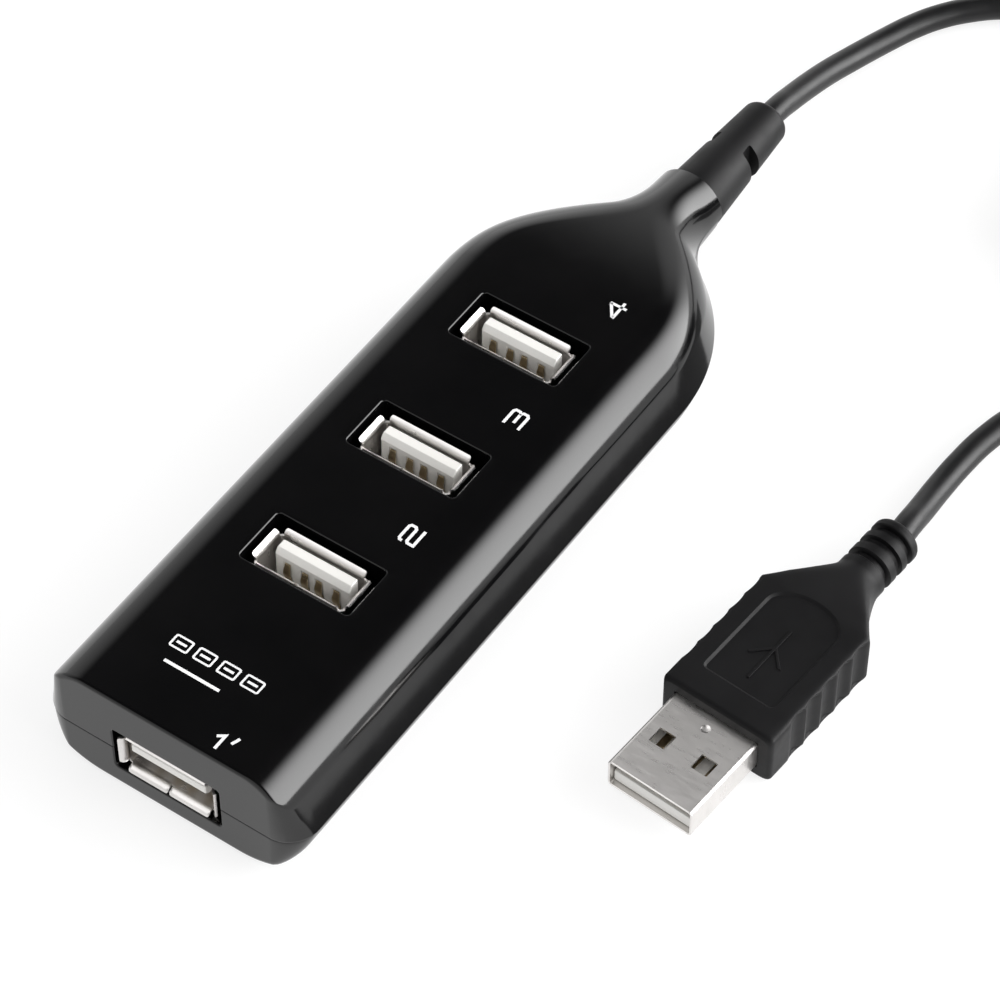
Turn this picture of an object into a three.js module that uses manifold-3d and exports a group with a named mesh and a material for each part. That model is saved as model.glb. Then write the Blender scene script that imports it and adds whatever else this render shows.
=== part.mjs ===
// Four-port USB 2.0 hub with a captive lead: a bottle-shaped housing in two halves, four type-A
// receptacles on a circuit board, and a lead that ends in a type-A plug.
// Millimetres, +Z up. The hub stands on z = 0 with its long axis along Y: port 1 opens in the front
// face at -Y, ports 2 to 4 open in the top, and the lead leaves the neck towards +Y.
import * as THREE from "three";
import { mergeVertices } from "three/addons/utils/BufferGeometryUtils.js";
import Module from "manifold-3d";

const wasm = await Module();
wasm.setup();

// ---------------------------------------------------------------- driving dimensions
const HUB_LENGTH = 127.6; // front face to the end of the strain relief
const FRONT_Y = -HUB_LENGTH / 2;
const RELIEF_END_Y = HUB_LENGTH / 2;
const NECK_Y = FRONT_Y + 109.3; // the housing's rear end, round the strain relief
const HEIGHT = 16.5;
const PARTING_Z = 7.0; // where the two covers meet
const WALL = 1.6;
const FIT = 0.05; // clearance between pieces that sit against each other
const GAP = 0.3; // clearance where a cord's solids meet their neighbours
const OVERCUT = 1; // cutting solids run this far past the faces they cut
const ROOT = 0.5; // bosses and skirts stop this far below the top face, inside its wall

const HALF_WIDTH = 18.6; // at the parting line
const LIP_STEP = 0.4; // the bottom cover stands this far inside the top cover's edge
const CORNER_RADIUS = 4.2; // front corners, seen from above
const BELLY_START_Y = 14.9; // the sides are straight up to here
const BELLY_RADIUS = 25.3;
const NECK_HALF_WIDTH = 4.8;
const NECK_FILLET = 9.4;

const CREASE_INSET = 1.75; // the crease between shoulder and side wall, in from the parting line
const CREASE_Z = 12.35;
const CREASE_DROP_SHARE = 0.3; // how much of an inset lowers the crease
const SHOULDER_WIDTH = 5.35;
const SHOULDER_TURN = THREE.MathUtils.degToRad(55.4);
const SLOPE_START_Y = 11; // the top starts to fall towards the neck
const SLOPE_POWER = 2.0;
const NECK_TOP_Z = 12.1;
const NECK_BOTTOM_Z = 1.3;
const NECK_BLEND = [20, 43.5]; // the section turns oval between these
const FRONT_ROLL = 1.0; // the roll under the front edge
const BOTTOM_ROLL_WIDTH = 8.3;
const BOTTOM_RISE_START_Y = 35.5;

const PORT_PITCH = 21.0;
const FIRST_TOP_PORT_Y = FRONT_Y + 28.7;
const TOP_PORTS = 3;
const WINDOW = [15.6, 7.8]; // openings in the top, across by along
const WINDOW_SKIRT = 0.8;
const WINDOW_SKIRT_Z = 10.2;
const FRONT_WINDOW = [15.2, 6.9];
const FRONT_PORT_Z = 6.95;
const PORT_OFFSET_Y = -0.4; // a receptacle's place in its window
const LIP_Z = HEIGHT - 0.3; // the mouths of the top receptacles

// Type-A receptacle, mouth up: opening 12.5 by 5.12 mm.
const MOUTH = [12.5, 5.12];
const SHEET = 0.3; // sheet metal
const LIP_DEPTH = 0.7;
const LIP_ROOT = 0.5; // the lips' straight roots, along the sleeve
const LIP_EDGE = 0.21;
const LIP_FLARES = [0.85, 1.05]; // long lips, short lips
const LIP_LENGTHS = [11.5, 4.6];
const TONGUE = [10.6, 1.84];
const TONGUE_CENTRE = 0.98; // off the middle of the mouth
const TONGUE_TIP = 0.5; // below the lips
const BASE_HEIGHT = 2.6; // insulator block behind the tongue
const CONTACT_PLACES = [-3.5, -1.0, 1.0, 3.5];
const CONTACT_WIDTH = 1.0;
const CONTACT_THICKNESS = 0.2;
const CONTACT_LENGTH = 6.4;
const CONTACT_TIP = 1.1; // below the lips
const FRONT_RECEPTACLE_LENGTH = 13.0;

const BOARD_TOP_Z = 4.0;
const BOARD_THICKNESS = 1.0;
const BOARD_HALF_WIDTH = 10.6;
const BOARD_ENDS = [FRONT_Y + 3.6, 22.0];
const BOARD_CHAMFER = 3.0;
const POST_PLACES = [-44.6, 18.6]; // y of the two locating posts
const POST_RADIUS = 1.2;
const POST_TOP_Z = 10.2;
const BOSS_RADIUS = 2.6;
const BOSS_BOTTOM_Z = 6.2;
const CONTROLLER = [10.0, 4.0, 1.6]; // parts on the board: width, length, height
const CRYSTAL = [10.2, 4.2, 3.4];
const RESISTORS = [3.2, 1.6, 0.6];
const CAPACITOR_RADIUS = 2.5;
const CAPACITOR_LENGTH = 7.0;

const CORD_DIAMETER = 3.4;
const CORD_AXIS_Z = 6.5;
const RELIEF_RADII = [4.3, 3.2]; // strain relief, at the neck and at its end
const RELIEF_ROUND = 0.8; // its rounded end
const SHANK_RADIUS = 2.7; // the relief's shank, held in the neck's bore
const NECK_WALL = 3.0;
const FLANGE_RADIUS = 3.4;
const FLANGE_ENDS = [NECK_Y - 8.4, NECK_Y - 5.6];
const SLOT_Y = NECK_Y + 9.6; // one slot in each side of the relief
const SLOT_WIDTH = 2.0;
const SLOT_HALF_HEIGHT = 3.1;
const WIRE_DIAMETER = 1.0;

// Plug, in its own frame: its mouth at the origin, +Y towards the lead, flat on z = 0.
const PLUG_PLACE = new THREE.Vector3(45.55, -33.2, 0);
const PLUG_TURN = THREE.MathUtils.degToRad(-4.2);
const PLUG_AXIS_Z = 4.0;
const PLUG_SHELL = [12.0, 15.2, 4.5];
const OVERMOLD_START = 12.5;
const OVERMOLD_HALF_WIDTH = 7.9;
const OVERMOLD_SHOULDER = 31.8;
const OVERMOLD_NECK = 40.6;
const OVERMOLD_END = 49.0;
const OVERMOLD_NOSE = 1.2; // length of the tapered front edge
const NOSE_TAPER = [0.7, 0.5]; // how far it draws in, across and up
const OVERMOLD_SQUARENESS = 7; // exponent of the block's section; 2 is round
const PLUG_RELIEF_RADIUS = 3.15;
const GROOVES = [42.4, 44.8, 47.0];
const GROOVE_WIDTH = 0.8;
const GROOVE_RADIUS = 2.5;
const SECTION_SIDES = 24;
const SHELL_HOLE = [2.3, 2.3];
const SHELL_HOLE_X = 3.0;
const SHELL_HOLE_Y = 6.3;
const PLUG_INSULATOR_START = 0.7;
const PLUG_INSULATOR_HEIGHT = 1.85;
const PLUG_CONTACT_STARTS = [1.3, 2.3]; // outer and inner contacts
const PLUG_CONTACT_END = 10.0;

// Cord: out of the hub, round a stored coil, and back to the plug.
const COIL_CENTRE = [54.0, 84.0];
const COIL_RADIUS = 18.7; // at the middle of its turns
const COIL_LIFT = 0.6; // the tie passes under it
const TIE_ANGLE = THREE.MathUtils.degToRad(215);
const TIE_WIDTH = 3.2;
const TIE_BAND = 0.6;
const LEAD_OUT = [
  [0.0, 64.1, 6.5],
  [0.0, 66.6, 6.2],
  [0.0, 69.4, 5.5],
  [0.2, 73.6, 4.6],
  [0.6, 78.2, 3.6],
  [1.3, 82.5, 2.75],
  [2.1, 86.3, 2.15],
  [3.1, 89.8, 1.85],
  [4.4, 93.4, 1.73],
  [6.4, 97.2, 1.73],
  [9.2, 100.8, 1.73],
  [12.8, 104.0, 1.73],
  [17.4, 106.6, 1.73],
  [23.2, 108.3, 1.73],
  [30.4, 109.0, 1.73],
  [38.5, 108.5, 1.84],
  [47.0, 106.8, 2.1],
  [54.5, 104.5, 2.3],
];
const LEAD_IN = [
  [74.2, 70.4, 7.0],
  [71.4, 65.4, 5.2],
  [67.6, 60.4, 3.2],
  [62.8, 55.4, 2.0],
  [57.8, 51.0, 1.73],
  [53.5, 46.6, 1.73],
  [50.6, 41.8, 1.73],
  [49.2, 36.8, 1.73],
  [48.6, 31.6, 1.73],
  [48.5, 26.4, 1.95],
  [48.8, 21.6, 2.8],
  [49.05, 18.4, 3.7],
  [49.16, 15.97, 4.0],
];

// ---------------------------------------------------------------- materials
function finish(color, roughness, metalness = 0) {
  return new THREE.MeshStandardMaterial({ color, roughness, metalness });
}
const GLOSS_BLACK = finish(0x0b0b0d, 0.12);
const MATT_BLACK = finish(0x18181a, 0.55);
const NICKEL = finish(0xc9cacd, 0.28, 1);
const WHITE_PLASTIC = finish(0xeeece6, 0.5);
const GOLD = finish(0xd9b45a, 0.3, 1);
const BOARD_GREEN = finish(0x1f6a3c, 0.5);
const CHIP_BLACK = finish(0x202022, 0.7);
const CAN_BLUE = finish(0x24406e, 0.4);
const WIRE_COLOURS = { red: 0xb02020, white: 0xe8e8e4, green: 0x1f8a3a, black: 0x151515 };

// ---------------------------------------------------------------- solids
const model = new THREE.Group();

function addMesh(name, geometry, material, parent = model) {
  const mesh = new THREE.Mesh(geometry, material);
  mesh.name = name;
  parent.add(mesh);
  return mesh;
}

function solidFrom(geometry) {
  const bare = geometry.index ? geometry.toNonIndexed() : geometry.clone();
  for (const name of Object.keys(bare.attributes)) {
    if (name !== "position") bare.deleteAttribute(name);
  }
  const merged = mergeVertices(bare, 1e-4);
  return new wasm.Manifold(
    new wasm.Mesh({
      numProp: 3,
      vertProperties: new Float32Array(merged.attributes.position.array),
      triVerts: new Uint32Array(merged.index.array),
    }),
  );
}

function geometryFrom(solid) {
  const mesh = solid.getMesh();
  const geometry = new THREE.BufferGeometry();
  geometry.setAttribute("position", new THREE.BufferAttribute(mesh.vertProperties, 3));
  geometry.setIndex(new THREE.BufferAttribute(mesh.triVerts, 1));
  return geometry;
}

// A box from its lowest to its highest corner.
function box(low, high) {
  const size = high.map((v, i) => v - low[i]);
  const geometry = new THREE.BoxGeometry(...size);
  geometry.translate(...low.map((v, i) => v + size[i] / 2));
  return geometry;
}

function boxSolid(low, high) {
  return solidFrom(box(low, high));
}

// A round bar along Z.
function barSolid(radius, x, y, low, high, sides = 20) {
  const geometry = new THREE.CylinderGeometry(radius, radius, high - low, sides);
  geometry.rotateX(Math.PI / 2);
  geometry.translate(x, y, (low + high) / 2);
  return solidFrom(geometry);
}

// A solid through closed sections, each a list of [x, z] that is star-shaped about its first point.
function loft(stations, sectionAt) {
  const sections = stations.map(sectionAt);
  const count = sections[0].length;
  const positions = [];
  const faces = [];
  sections.forEach((section, i) => section.forEach(([x, z]) => positions.push(x, stations[i], z)));
  for (let i = 0; i + 1 < stations.length; i += 1) {
    for (let j = 0; j < count; j += 1) {
      const a = i * count + j;
      const b = i * count + ((j + 1) % count);
      faces.push(a, a + count, b, b, a + count, b + count);
    }
  }
  const last = (stations.length - 1) * count;
  for (let j = 1; j + 1 < count; j += 1) {
    faces.push(0, j, j + 1, last, last + j + 1, last + j);
  }
  const geometry = new THREE.BufferGeometry();
  geometry.setAttribute("position", new THREE.Float32BufferAttribute(positions, 3));
  geometry.setIndex(faces);
  return geometry;
}

// A tube of round section along points, with flat ends.
function tube(points, diameter, sides, stepCount) {
  const path = new THREE.CatmullRomCurve3(points.map((p) => new THREE.Vector3(...p)));
  const section = new THREE.Shape();
  section.absarc(0, 0, diameter / 2, 0, 2 * Math.PI);
  const outline = new THREE.Shape(section.getSpacedPoints(sides).slice(0, sides));
  return new THREE.ExtrudeGeometry(outline, {
    steps: stepCount,
    extrudePath: path,
    bevelEnabled: false,
  });
}

const steps = (count) => Array.from({ length: count + 1 }, (_, i) => i / count);
const mix = (a, b, t) => a + (b - a) * t;

// ---------------------------------------------------------------- housing shape
// Half-width of the outline at y, drawn in by an inset: a straight side between a round front
// corner and a belly arc, which runs into the neck through a hollow arc. The front face may stand
// back by a distance of its own.
const BELLY_CENTRE_X = HALF_WIDTH - BELLY_RADIUS;
const HOLLOW_CENTRE_X = NECK_HALF_WIDTH + NECK_FILLET;
const ARC_CENTRES = BELLY_RADIUS + NECK_FILLET;
const ARC_RUN = Math.sqrt(ARC_CENTRES ** 2 - (HOLLOW_CENTRE_X - BELLY_CENTRE_X) ** 2);

function halfWidth(y, inset, setback) {
  const radius = Math.max(CORNER_RADIUS - inset, 0.4);
  const fromCorner = FRONT_Y + setback + radius - y;
  if (fromCorner > 0) {
    const run = Math.min(fromCorner, radius);
    return HALF_WIDTH - inset - radius + Math.sqrt(radius ** 2 - run ** 2);
  }
  if (y <= BELLY_START_Y) return HALF_WIDTH - inset;
  const along = y - BELLY_START_Y;
  const belly = BELLY_RADIUS - inset;
  if (along <= (ARC_RUN * belly) / ARC_CENTRES) {
    return BELLY_CENTRE_X + Math.sqrt(belly ** 2 - along ** 2);
  }
  const left = Math.max(ARC_RUN - along, 0);
  return HOLLOW_CENTRE_X - Math.sqrt((NECK_FILLET + inset) ** 2 - left ** 2);
}

// How far the section has turned from the body's shape (0) into the neck's oval (1).
function ovalness(y) {
  return THREE.MathUtils.smoothstep(y, ...NECK_BLEND);
}

function topZ(y) {
  const t = THREE.MathUtils.clamp((y - SLOPE_START_Y) / (NECK_Y - SLOPE_START_Y), 0, 1);
  return mix(HEIGHT, NECK_TOP_Z, t ** SLOPE_POWER);
}

function bottomZ(y) {
  const run = THREE.MathUtils.clamp((y - FRONT_Y) / FRONT_ROLL, 0, 1);
  const roll = FRONT_ROLL * (1 - Math.sqrt(1 - (1 - run) ** 2));
  const t = THREE.MathUtils.clamp((y - BOTTOM_RISE_START_Y) / (NECK_Y - BOTTOM_RISE_START_Y), 0, 1);
  return roll + NECK_BOTTOM_Z * t ** 2;
}

const SHOULDER_STEPS = 6;
const ROLL_STEPS = 6;

// The right half of the top cover's section, from the parting line up to the middle of the top:
// a leaning side wall up to the crease, then an elliptic shoulder into a flat top.
function upperHalf(y, inset) {
  const oval = ovalness(y);
  const creaseInset = inset + CREASE_INSET * (1 - oval);
  const sideCrease = halfWidth(Math.max(y, FRONT_Y + inset + CORNER_RADIUS), creaseInset, inset);
  const start = Math.max(sideCrease - SHOULDER_WIDTH, 0) * (1 - oval);
  const reach = sideCrease - start;
  const turn = mix(SHOULDER_TURN, Math.PI / 2, oval);
  const top = topZ(y) - inset;
  const drop = top - mix(CREASE_Z - inset * CREASE_DROP_SHARE, PARTING_Z, oval);
  const crease = halfWidth(y, creaseInset, inset);
  const lastTurn = Math.asin(Math.min(((crease - start) * Math.sin(turn)) / reach, 1));
  const points = [[halfWidth(y, inset, inset), PARTING_Z]];
  for (const t of steps(SHOULDER_STEPS).reverse()) {
    const angle = lastTurn * t;
    const x = start + (reach * Math.sin(angle)) / Math.sin(turn);
    const z = top - (drop * (1 - Math.cos(angle))) / (1 - Math.cos(turn));
    points.push([x, Math.max(z, PARTING_Z + 0.02)]);
  }
  points.push([0, top]);
  return points;
}

// The right half of the bottom cover's section, from the parting line down to the middle. Its side
// rolls in under the body; in the neck the roll reaches the middle.
function lowerHalf(y, inset) {
  const edge = halfWidth(y, inset + LIP_STEP, inset);
  const oval = ovalness(y);
  const bottom = bottomZ(y - inset) + inset;
  const points = steps(ROLL_STEPS).map((t) => {
    const angle = (t * Math.PI) / 2;
    const drawnIn = inset + LIP_STEP + BOTTOM_ROLL_WIDTH * (1 - Math.cos(angle));
    const straight = edge - (drawnIn - inset - LIP_STEP);
    const body = y <= BELLY_START_Y ? halfWidth(y, drawnIn, inset) : Math.max(straight, 0);
    const x = mix(body, edge * Math.cos(angle), oval);
    return [x, PARTING_Z - (PARTING_Z - bottom) * Math.sin(angle)];
  });
  points.push([0, bottom]);
  return points;
}

// A closed section from its right half, which ends on the middle; anchorZ is the height of the
// flat edge that it fans out from.
function fullSection(half, anchorZ, upward) {
  const right = half.slice(0, -1).map(([x, z]) => [Math.max(x, 0.02), z]);
  const left = right.map(([x, z]) => [-x, z]).reverse();
  const edge = right[0][0];
  const loop = [[0, anchorZ], [edge, anchorZ], ...right.slice(1), half.at(-1)];
  loop.push(...left.slice(0, -1), [-edge, anchorZ]);
  return upward ? loop : [loop[0], ...loop.slice(1).reverse()];
}

// Stations along the housing: close together round the front corner and down the neck.
function housingStations(inset, end) {
  const corner = steps(7).map((t) => {
    return FRONT_Y + inset + CORNER_RADIUS * (1 - Math.cos((t * Math.PI) / 2));
  });
  const rear = steps(14).map((t) => mix(BELLY_START_Y, end, t));
  return [...corner, ...rear];
}

function upperBody(inset, end, anchorZ) {
  return solidFrom(
    loft(housingStations(inset, end), (y) => fullSection(upperHalf(y, inset), anchorZ, true)),
  );
}

function lowerBody(inset, end, anchorZ) {
  return solidFrom(
    loft(housingStations(inset, end), (y) => fullSection(lowerHalf(y, inset), anchorZ, false)),
  );
}

const topPortYs = Array.from({ length: TOP_PORTS }, (_, i) => FIRST_TOP_PORT_Y + i * PORT_PITCH);

// A round hole along Y, on the cord's axis.
function boreSolid(radius, start, end) {
  const geometry = new THREE.CylinderGeometry(radius, radius, end - start, 24);
  geometry.translate(0, (start + end) / 2, CORD_AXIS_Z);
  return solidFrom(geometry);
}

// The front window and the neck bore go through both covers; the relief's flange has a groove.
function cutEnds(cover) {
  const [across, up] = FRONT_WINDOW;
  const window = boxSolid(
    [-across / 2, FRONT_Y - OVERCUT, FRONT_PORT_Z - up / 2],
    [across / 2, FRONT_Y + WALL + OVERCUT, FRONT_PORT_Z + up / 2],
  );
  const bore = boreSolid(SHANK_RADIUS + FIT, FLANGE_ENDS[0] - OVERCUT, NECK_Y + OVERCUT);
  const groove = boreSolid(FLANGE_RADIUS + FIT, FLANGE_ENDS[0] - FIT, FLANGE_ENDS[1] + FIT);
  return cover.subtract(window).subtract(bore).subtract(groove);
}

function topCover() {
  const cavity = upperBody(WALL, NECK_Y - NECK_WALL, PARTING_Z - OVERCUT);
  let cover = upperBody(0, NECK_Y, PARTING_Z).subtract(cavity);
  for (const y of topPortYs) {
    const [across, along] = WINDOW;
    const skirt = boxSolid(
      [-across / 2 - WINDOW_SKIRT, y - along / 2 - WINDOW_SKIRT, WINDOW_SKIRT_Z],
      [across / 2 + WINDOW_SKIRT, y + along / 2 + WINDOW_SKIRT, HEIGHT - ROOT],
    );
    const window = boxSolid(
      [-across / 2, y - along / 2, WINDOW_SKIRT_Z - OVERCUT],
      [across / 2, y + along / 2, HEIGHT + OVERCUT],
    );
    cover = cover.add(skirt).subtract(window);
  }
  for (const y of POST_PLACES) {
    const boss = barSolid(BOSS_RADIUS, 0, y, BOSS_BOTTOM_Z, HEIGHT - ROOT);
    const socket = barSolid(POST_RADIUS + FIT, 0, y, BOSS_BOTTOM_Z - OVERCUT, POST_TOP_Z + GAP);
    cover = cover.add(boss).subtract(socket);
  }
  return cutEnds(cover);
}

function bottomCover() {
  const cavity = lowerBody(WALL, NECK_Y - NECK_WALL, PARTING_Z + OVERCUT);
  let cover = lowerBody(0, NECK_Y, PARTING_Z).subtract(cavity);
  for (const y of POST_PLACES) {
    cover = cover.add(barSolid(POST_RADIUS, 0, y, WALL / 2, POST_TOP_Z));
  }
  return cutEnds(cover);
}

addMesh("top_cover", geometryFrom(topCover()), GLOSS_BLACK);
addMesh("bottom_cover", geometryFrom(bottomCover()), GLOSS_BLACK);

// ---------------------------------------------------------------- receptacles
// A frame of sheet metal, open at both ends, from z = low to z = high.
function sleeve([across, along], low, high) {
  const [x, y] = [across / 2, along / 2];
  const outer = boxSolid([-x - SHEET, -y - SHEET, low], [x + SHEET, y + SHEET, high]);
  const inner = boxSolid([-x, -y, low - OVERCUT], [x, y, high + OVERCUT]);
  return outer.subtract(inner);
}

// One flared lip along X at the mouth's +Y edge, which the other three copy.
function lip(length, edge, flare) {
  const outline = new THREE.Shape([
    new THREE.Vector2(edge, -LIP_DEPTH - LIP_ROOT),
    new THREE.Vector2(edge + SHEET, -LIP_DEPTH - LIP_ROOT),
    new THREE.Vector2(edge + SHEET, -LIP_DEPTH),
    new THREE.Vector2(edge + flare, -LIP_EDGE),
    new THREE.Vector2(edge + flare, 0),
    new THREE.Vector2(edge + flare - LIP_EDGE, 0),
    new THREE.Vector2(edge, -LIP_DEPTH),
  ]);
  const geometry = new THREE.ExtrudeGeometry(outline, { depth: length, bevelEnabled: false });
  geometry.translate(0, 0, -length / 2);
  return geometry.rotateX(Math.PI / 2).rotateZ(Math.PI / 2);
}

function receptacleShell(length) {
  let shell = sleeve(MOUTH, -length, -LIP_DEPTH);
  for (let side = 0; side < 4; side += 1) {
    const along = side % 2;
    const geometry = lip(LIP_LENGTHS[along], MOUTH[1 - along] / 2, LIP_FLARES[along]);
    shell = shell.add(solidFrom(geometry.rotateZ((side * Math.PI) / 2)));
  }
  return shell;
}

function receptacleInsulator(length) {
  const [across, along] = MOUTH;
  const base = boxSolid(
    [-across / 2 + FIT, -along / 2 + FIT, -length],
    [across / 2 - FIT, along / 2 - FIT, -length + BASE_HEIGHT],
  );
  const tongue = boxSolid(
    [-TONGUE[0] / 2, TONGUE_CENTRE - TONGUE[1] / 2, -length],
    [TONGUE[0] / 2, TONGUE_CENTRE + TONGUE[1] / 2, -TONGUE_TIP],
  );
  return base.add(tongue);
}

function addReceptacle(number, length, holder) {
  addMesh(`port_${number}_shell`, geometryFrom(receptacleShell(length)), NICKEL, holder);
  const insulator = geometryFrom(receptacleInsulator(length));
  addMesh(`port_${number}_insulator`, insulator, WHITE_PLASTIC, holder);
  const face = TONGUE_CENTRE - TONGUE[1] / 2 - FIT;
  CONTACT_PLACES.forEach((x, i) => {
    const strip = box(
      [x - CONTACT_WIDTH / 2, face - CONTACT_THICKNESS, -CONTACT_TIP - CONTACT_LENGTH],
      [x + CONTACT_WIDTH / 2, face, -CONTACT_TIP],
    );
    addMesh(`port_${number}_contact_${i + 1}`, strip, GOLD, holder);
  });
  model.add(holder);
}

const frontHolder = new THREE.Group();
frontHolder.position.set(0, FRONT_Y, FRONT_PORT_Z);
frontHolder.rotation.x = Math.PI / 2;
addReceptacle(1, FRONT_RECEPTACLE_LENGTH, frontHolder);
topPortYs.forEach((y, i) => {
  const holder = new THREE.Group();
  holder.position.set(0, y + PORT_OFFSET_Y, LIP_Z);
  addReceptacle(i + 2, LIP_Z - BOARD_TOP_Z, holder);
});

// ---------------------------------------------------------------- circuit board
function board() {
  const [front, rear] = BOARD_ENDS;
  const corners = [
    [BOARD_HALF_WIDTH, front],
    [BOARD_HALF_WIDTH, rear - BOARD_CHAMFER],
    [BOARD_HALF_WIDTH - BOARD_CHAMFER, rear],
  ];
  const mirrored = corners.map(([x, y]) => [-x, y]).reverse();
  const outline = new THREE.Shape([...corners, ...mirrored].map((p) => new THREE.Vector2(...p)));
  const geometry = new THREE.ExtrudeGeometry(outline, { depth: BOARD_THICKNESS, bevelEnabled: false });
  geometry.translate(0, 0, BOARD_TOP_Z - BOARD_THICKNESS);
  let solid = solidFrom(geometry);
  for (const y of POST_PLACES) {
    solid = solid.subtract(barSolid(POST_RADIUS + GAP, 0, y, 0, HEIGHT));
  }
  return solid;
}

addMesh("circuit_board", geometryFrom(board()), BOARD_GREEN);

// A part on the board, by its middle and its size.
function onBoard(x, y, [width, length, height]) {
  const low = [x - width / 2, y - length / 2, BOARD_TOP_Z];
  return box(low, [x + width / 2, y + length / 2, BOARD_TOP_Z + height]);
}

const BETWEEN_PORTS_Y = FIRST_TOP_PORT_Y + PORT_PITCH / 2 + PORT_OFFSET_Y;
const BEHIND_PORTS_Y = BETWEEN_PORTS_Y + PORT_PITCH;
addMesh("hub_controller", onBoard(0, BETWEEN_PORTS_Y, CONTROLLER), CHIP_BLACK);
addMesh("crystal", onBoard(-3, BEHIND_PORTS_Y, CRYSTAL), NICKEL);
addMesh("resistor_array", onBoard(7, BEHIND_PORTS_Y, RESISTORS), CHIP_BLACK);
const can = new THREE.CylinderGeometry(CAPACITOR_RADIUS, CAPACITOR_RADIUS, CAPACITOR_LENGTH, 20);
can.rotateX(Math.PI / 2).translate(8.4, POST_PLACES[0], BOARD_TOP_Z + CAPACITOR_RADIUS + 1);
addMesh("input_capacitor", can, CAN_BLUE);

// ---------------------------------------------------------------- strain relief and inner wires
function strainRelief() {
  const [flangeStart, flangeEnd] = FLANGE_ENDS;
  const [rootRadius, tipRadius] = RELIEF_RADII;
  const profile = [
    [0, flangeStart],
    [FLANGE_RADIUS, flangeStart],
    [FLANGE_RADIUS, flangeEnd],
    [SHANK_RADIUS, flangeEnd],
    [SHANK_RADIUS, NECK_Y + FIT],
    [rootRadius, NECK_Y + FIT],
    [tipRadius, RELIEF_END_Y - RELIEF_ROUND],
    [tipRadius - RELIEF_ROUND * 0.3, RELIEF_END_Y - RELIEF_ROUND * 0.3],
    [tipRadius - RELIEF_ROUND, RELIEF_END_Y],
    [0, RELIEF_END_Y],
  ];
  const geometry = new THREE.LatheGeometry(profile.map((p) => new THREE.Vector2(...p)), 28);
  geometry.translate(0, 0, CORD_AXIS_Z);
  let relief = solidFrom(geometry);
  for (const side of [-1, 1]) {
    const nearEdge = side * (CORD_DIAMETER / 2 + 0.2);
    const farEdge = side * (rootRadius + OVERCUT);
    const slot = boxSolid(
      [Math.min(nearEdge, farEdge), SLOT_Y - SLOT_WIDTH / 2, CORD_AXIS_Z - SLOT_HALF_HEIGHT],
      [Math.max(nearEdge, farEdge), SLOT_Y + SLOT_WIDTH / 2, CORD_AXIS_Z + SLOT_HALF_HEIGHT],
    );
    relief = relief.subtract(slot);
  }
  return relief;
}

addMesh("strain_relief", geometryFrom(strainRelief()), MATT_BLACK);

Object.entries(WIRE_COLOURS).forEach(([colour, hex], i) => {
  const side = i - 1.5;
  const points = [
    [side * 1.1, FLANGE_ENDS[0] - GAP, CORD_AXIS_Z],
    [side * 1.3, FLANGE_ENDS[0] - 4, CORD_AXIS_Z + 0.3],
    [side * 2.4, BOARD_ENDS[1] + 2, CORD_AXIS_Z + 0.4],
    [side * 2.6, BOARD_ENDS[1] - 1.2, BOARD_TOP_Z + 1.2],
    [side * 2.6, BOARD_ENDS[1] - 2.2, BOARD_TOP_Z + 0.7],
  ];
  addMesh(`wire_${colour}`, tube(points, WIRE_DIAMETER, 6, 10), finish(hex, 0.4));
});

// ---------------------------------------------------------------- cord and coil
const coilHeight = COIL_LIFT + 2 * CORD_DIAMETER;

// A ring with a flat section round the coil's middle, from z = low to z = high.
function ring(inner, outer, low, high) {
  const corners = [[inner, low], [outer, low], [outer, high], [inner, high], [inner, low]];
  const geometry = new THREE.LatheGeometry(corners.map((p) => new THREE.Vector2(...p)), 48);
  geometry.rotateX(Math.PI / 2).translate(COIL_CENTRE[0], COIL_CENTRE[1], 0);
  return geometry;
}

const innerEdge = COIL_RADIUS - CORD_DIAMETER;
const outerEdge = COIL_RADIUS + CORD_DIAMETER;
const coil = ring(innerEdge, outerEdge, COIL_LIFT + GAP, coilHeight);
addMesh("cord_coil", coil, MATT_BLACK);
const coilRoom = solidFrom(ring(innerEdge - GAP, outerEdge + GAP, 0, coilHeight + GAP));

addMesh(
  "cord_lead_out",
  geometryFrom(solidFrom(tube(LEAD_OUT, CORD_DIAMETER, 8, 34)).subtract(coilRoom)),
  MATT_BLACK,
);
addMesh(
  "cord_lead_in",
  geometryFrom(solidFrom(tube(LEAD_IN, CORD_DIAMETER, 8, 26)).subtract(coilRoom)),
  MATT_BLACK,
);

function coilTie() {
  const [near, far] = [innerEdge - GAP, outerEdge + GAP];
  const high = coilHeight + GAP;
  const outside = boxSolid(
    [near - TIE_BAND, -TIE_WIDTH / 2, COIL_LIFT - TIE_BAND],
    [far + TIE_BAND, TIE_WIDTH / 2, high + TIE_BAND],
  );
  const inside = boxSolid([near, -TIE_WIDTH, COIL_LIFT], [far, TIE_WIDTH, high]);
  return outside.subtract(inside);
}

const tieHolder = new THREE.Group();
tieHolder.position.set(COIL_CENTRE[0], COIL_CENTRE[1], 0);
tieHolder.rotation.z = TIE_ANGLE;
addMesh("coil_tie", geometryFrom(coilTie()), MATT_BLACK, tieHolder);
model.add(tieHolder);

// ---------------------------------------------------------------- plug
const plug = new THREE.Group();
plug.position.copy(PLUG_PLACE);
plug.rotation.z = PLUG_TURN;
model.add(plug);

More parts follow.
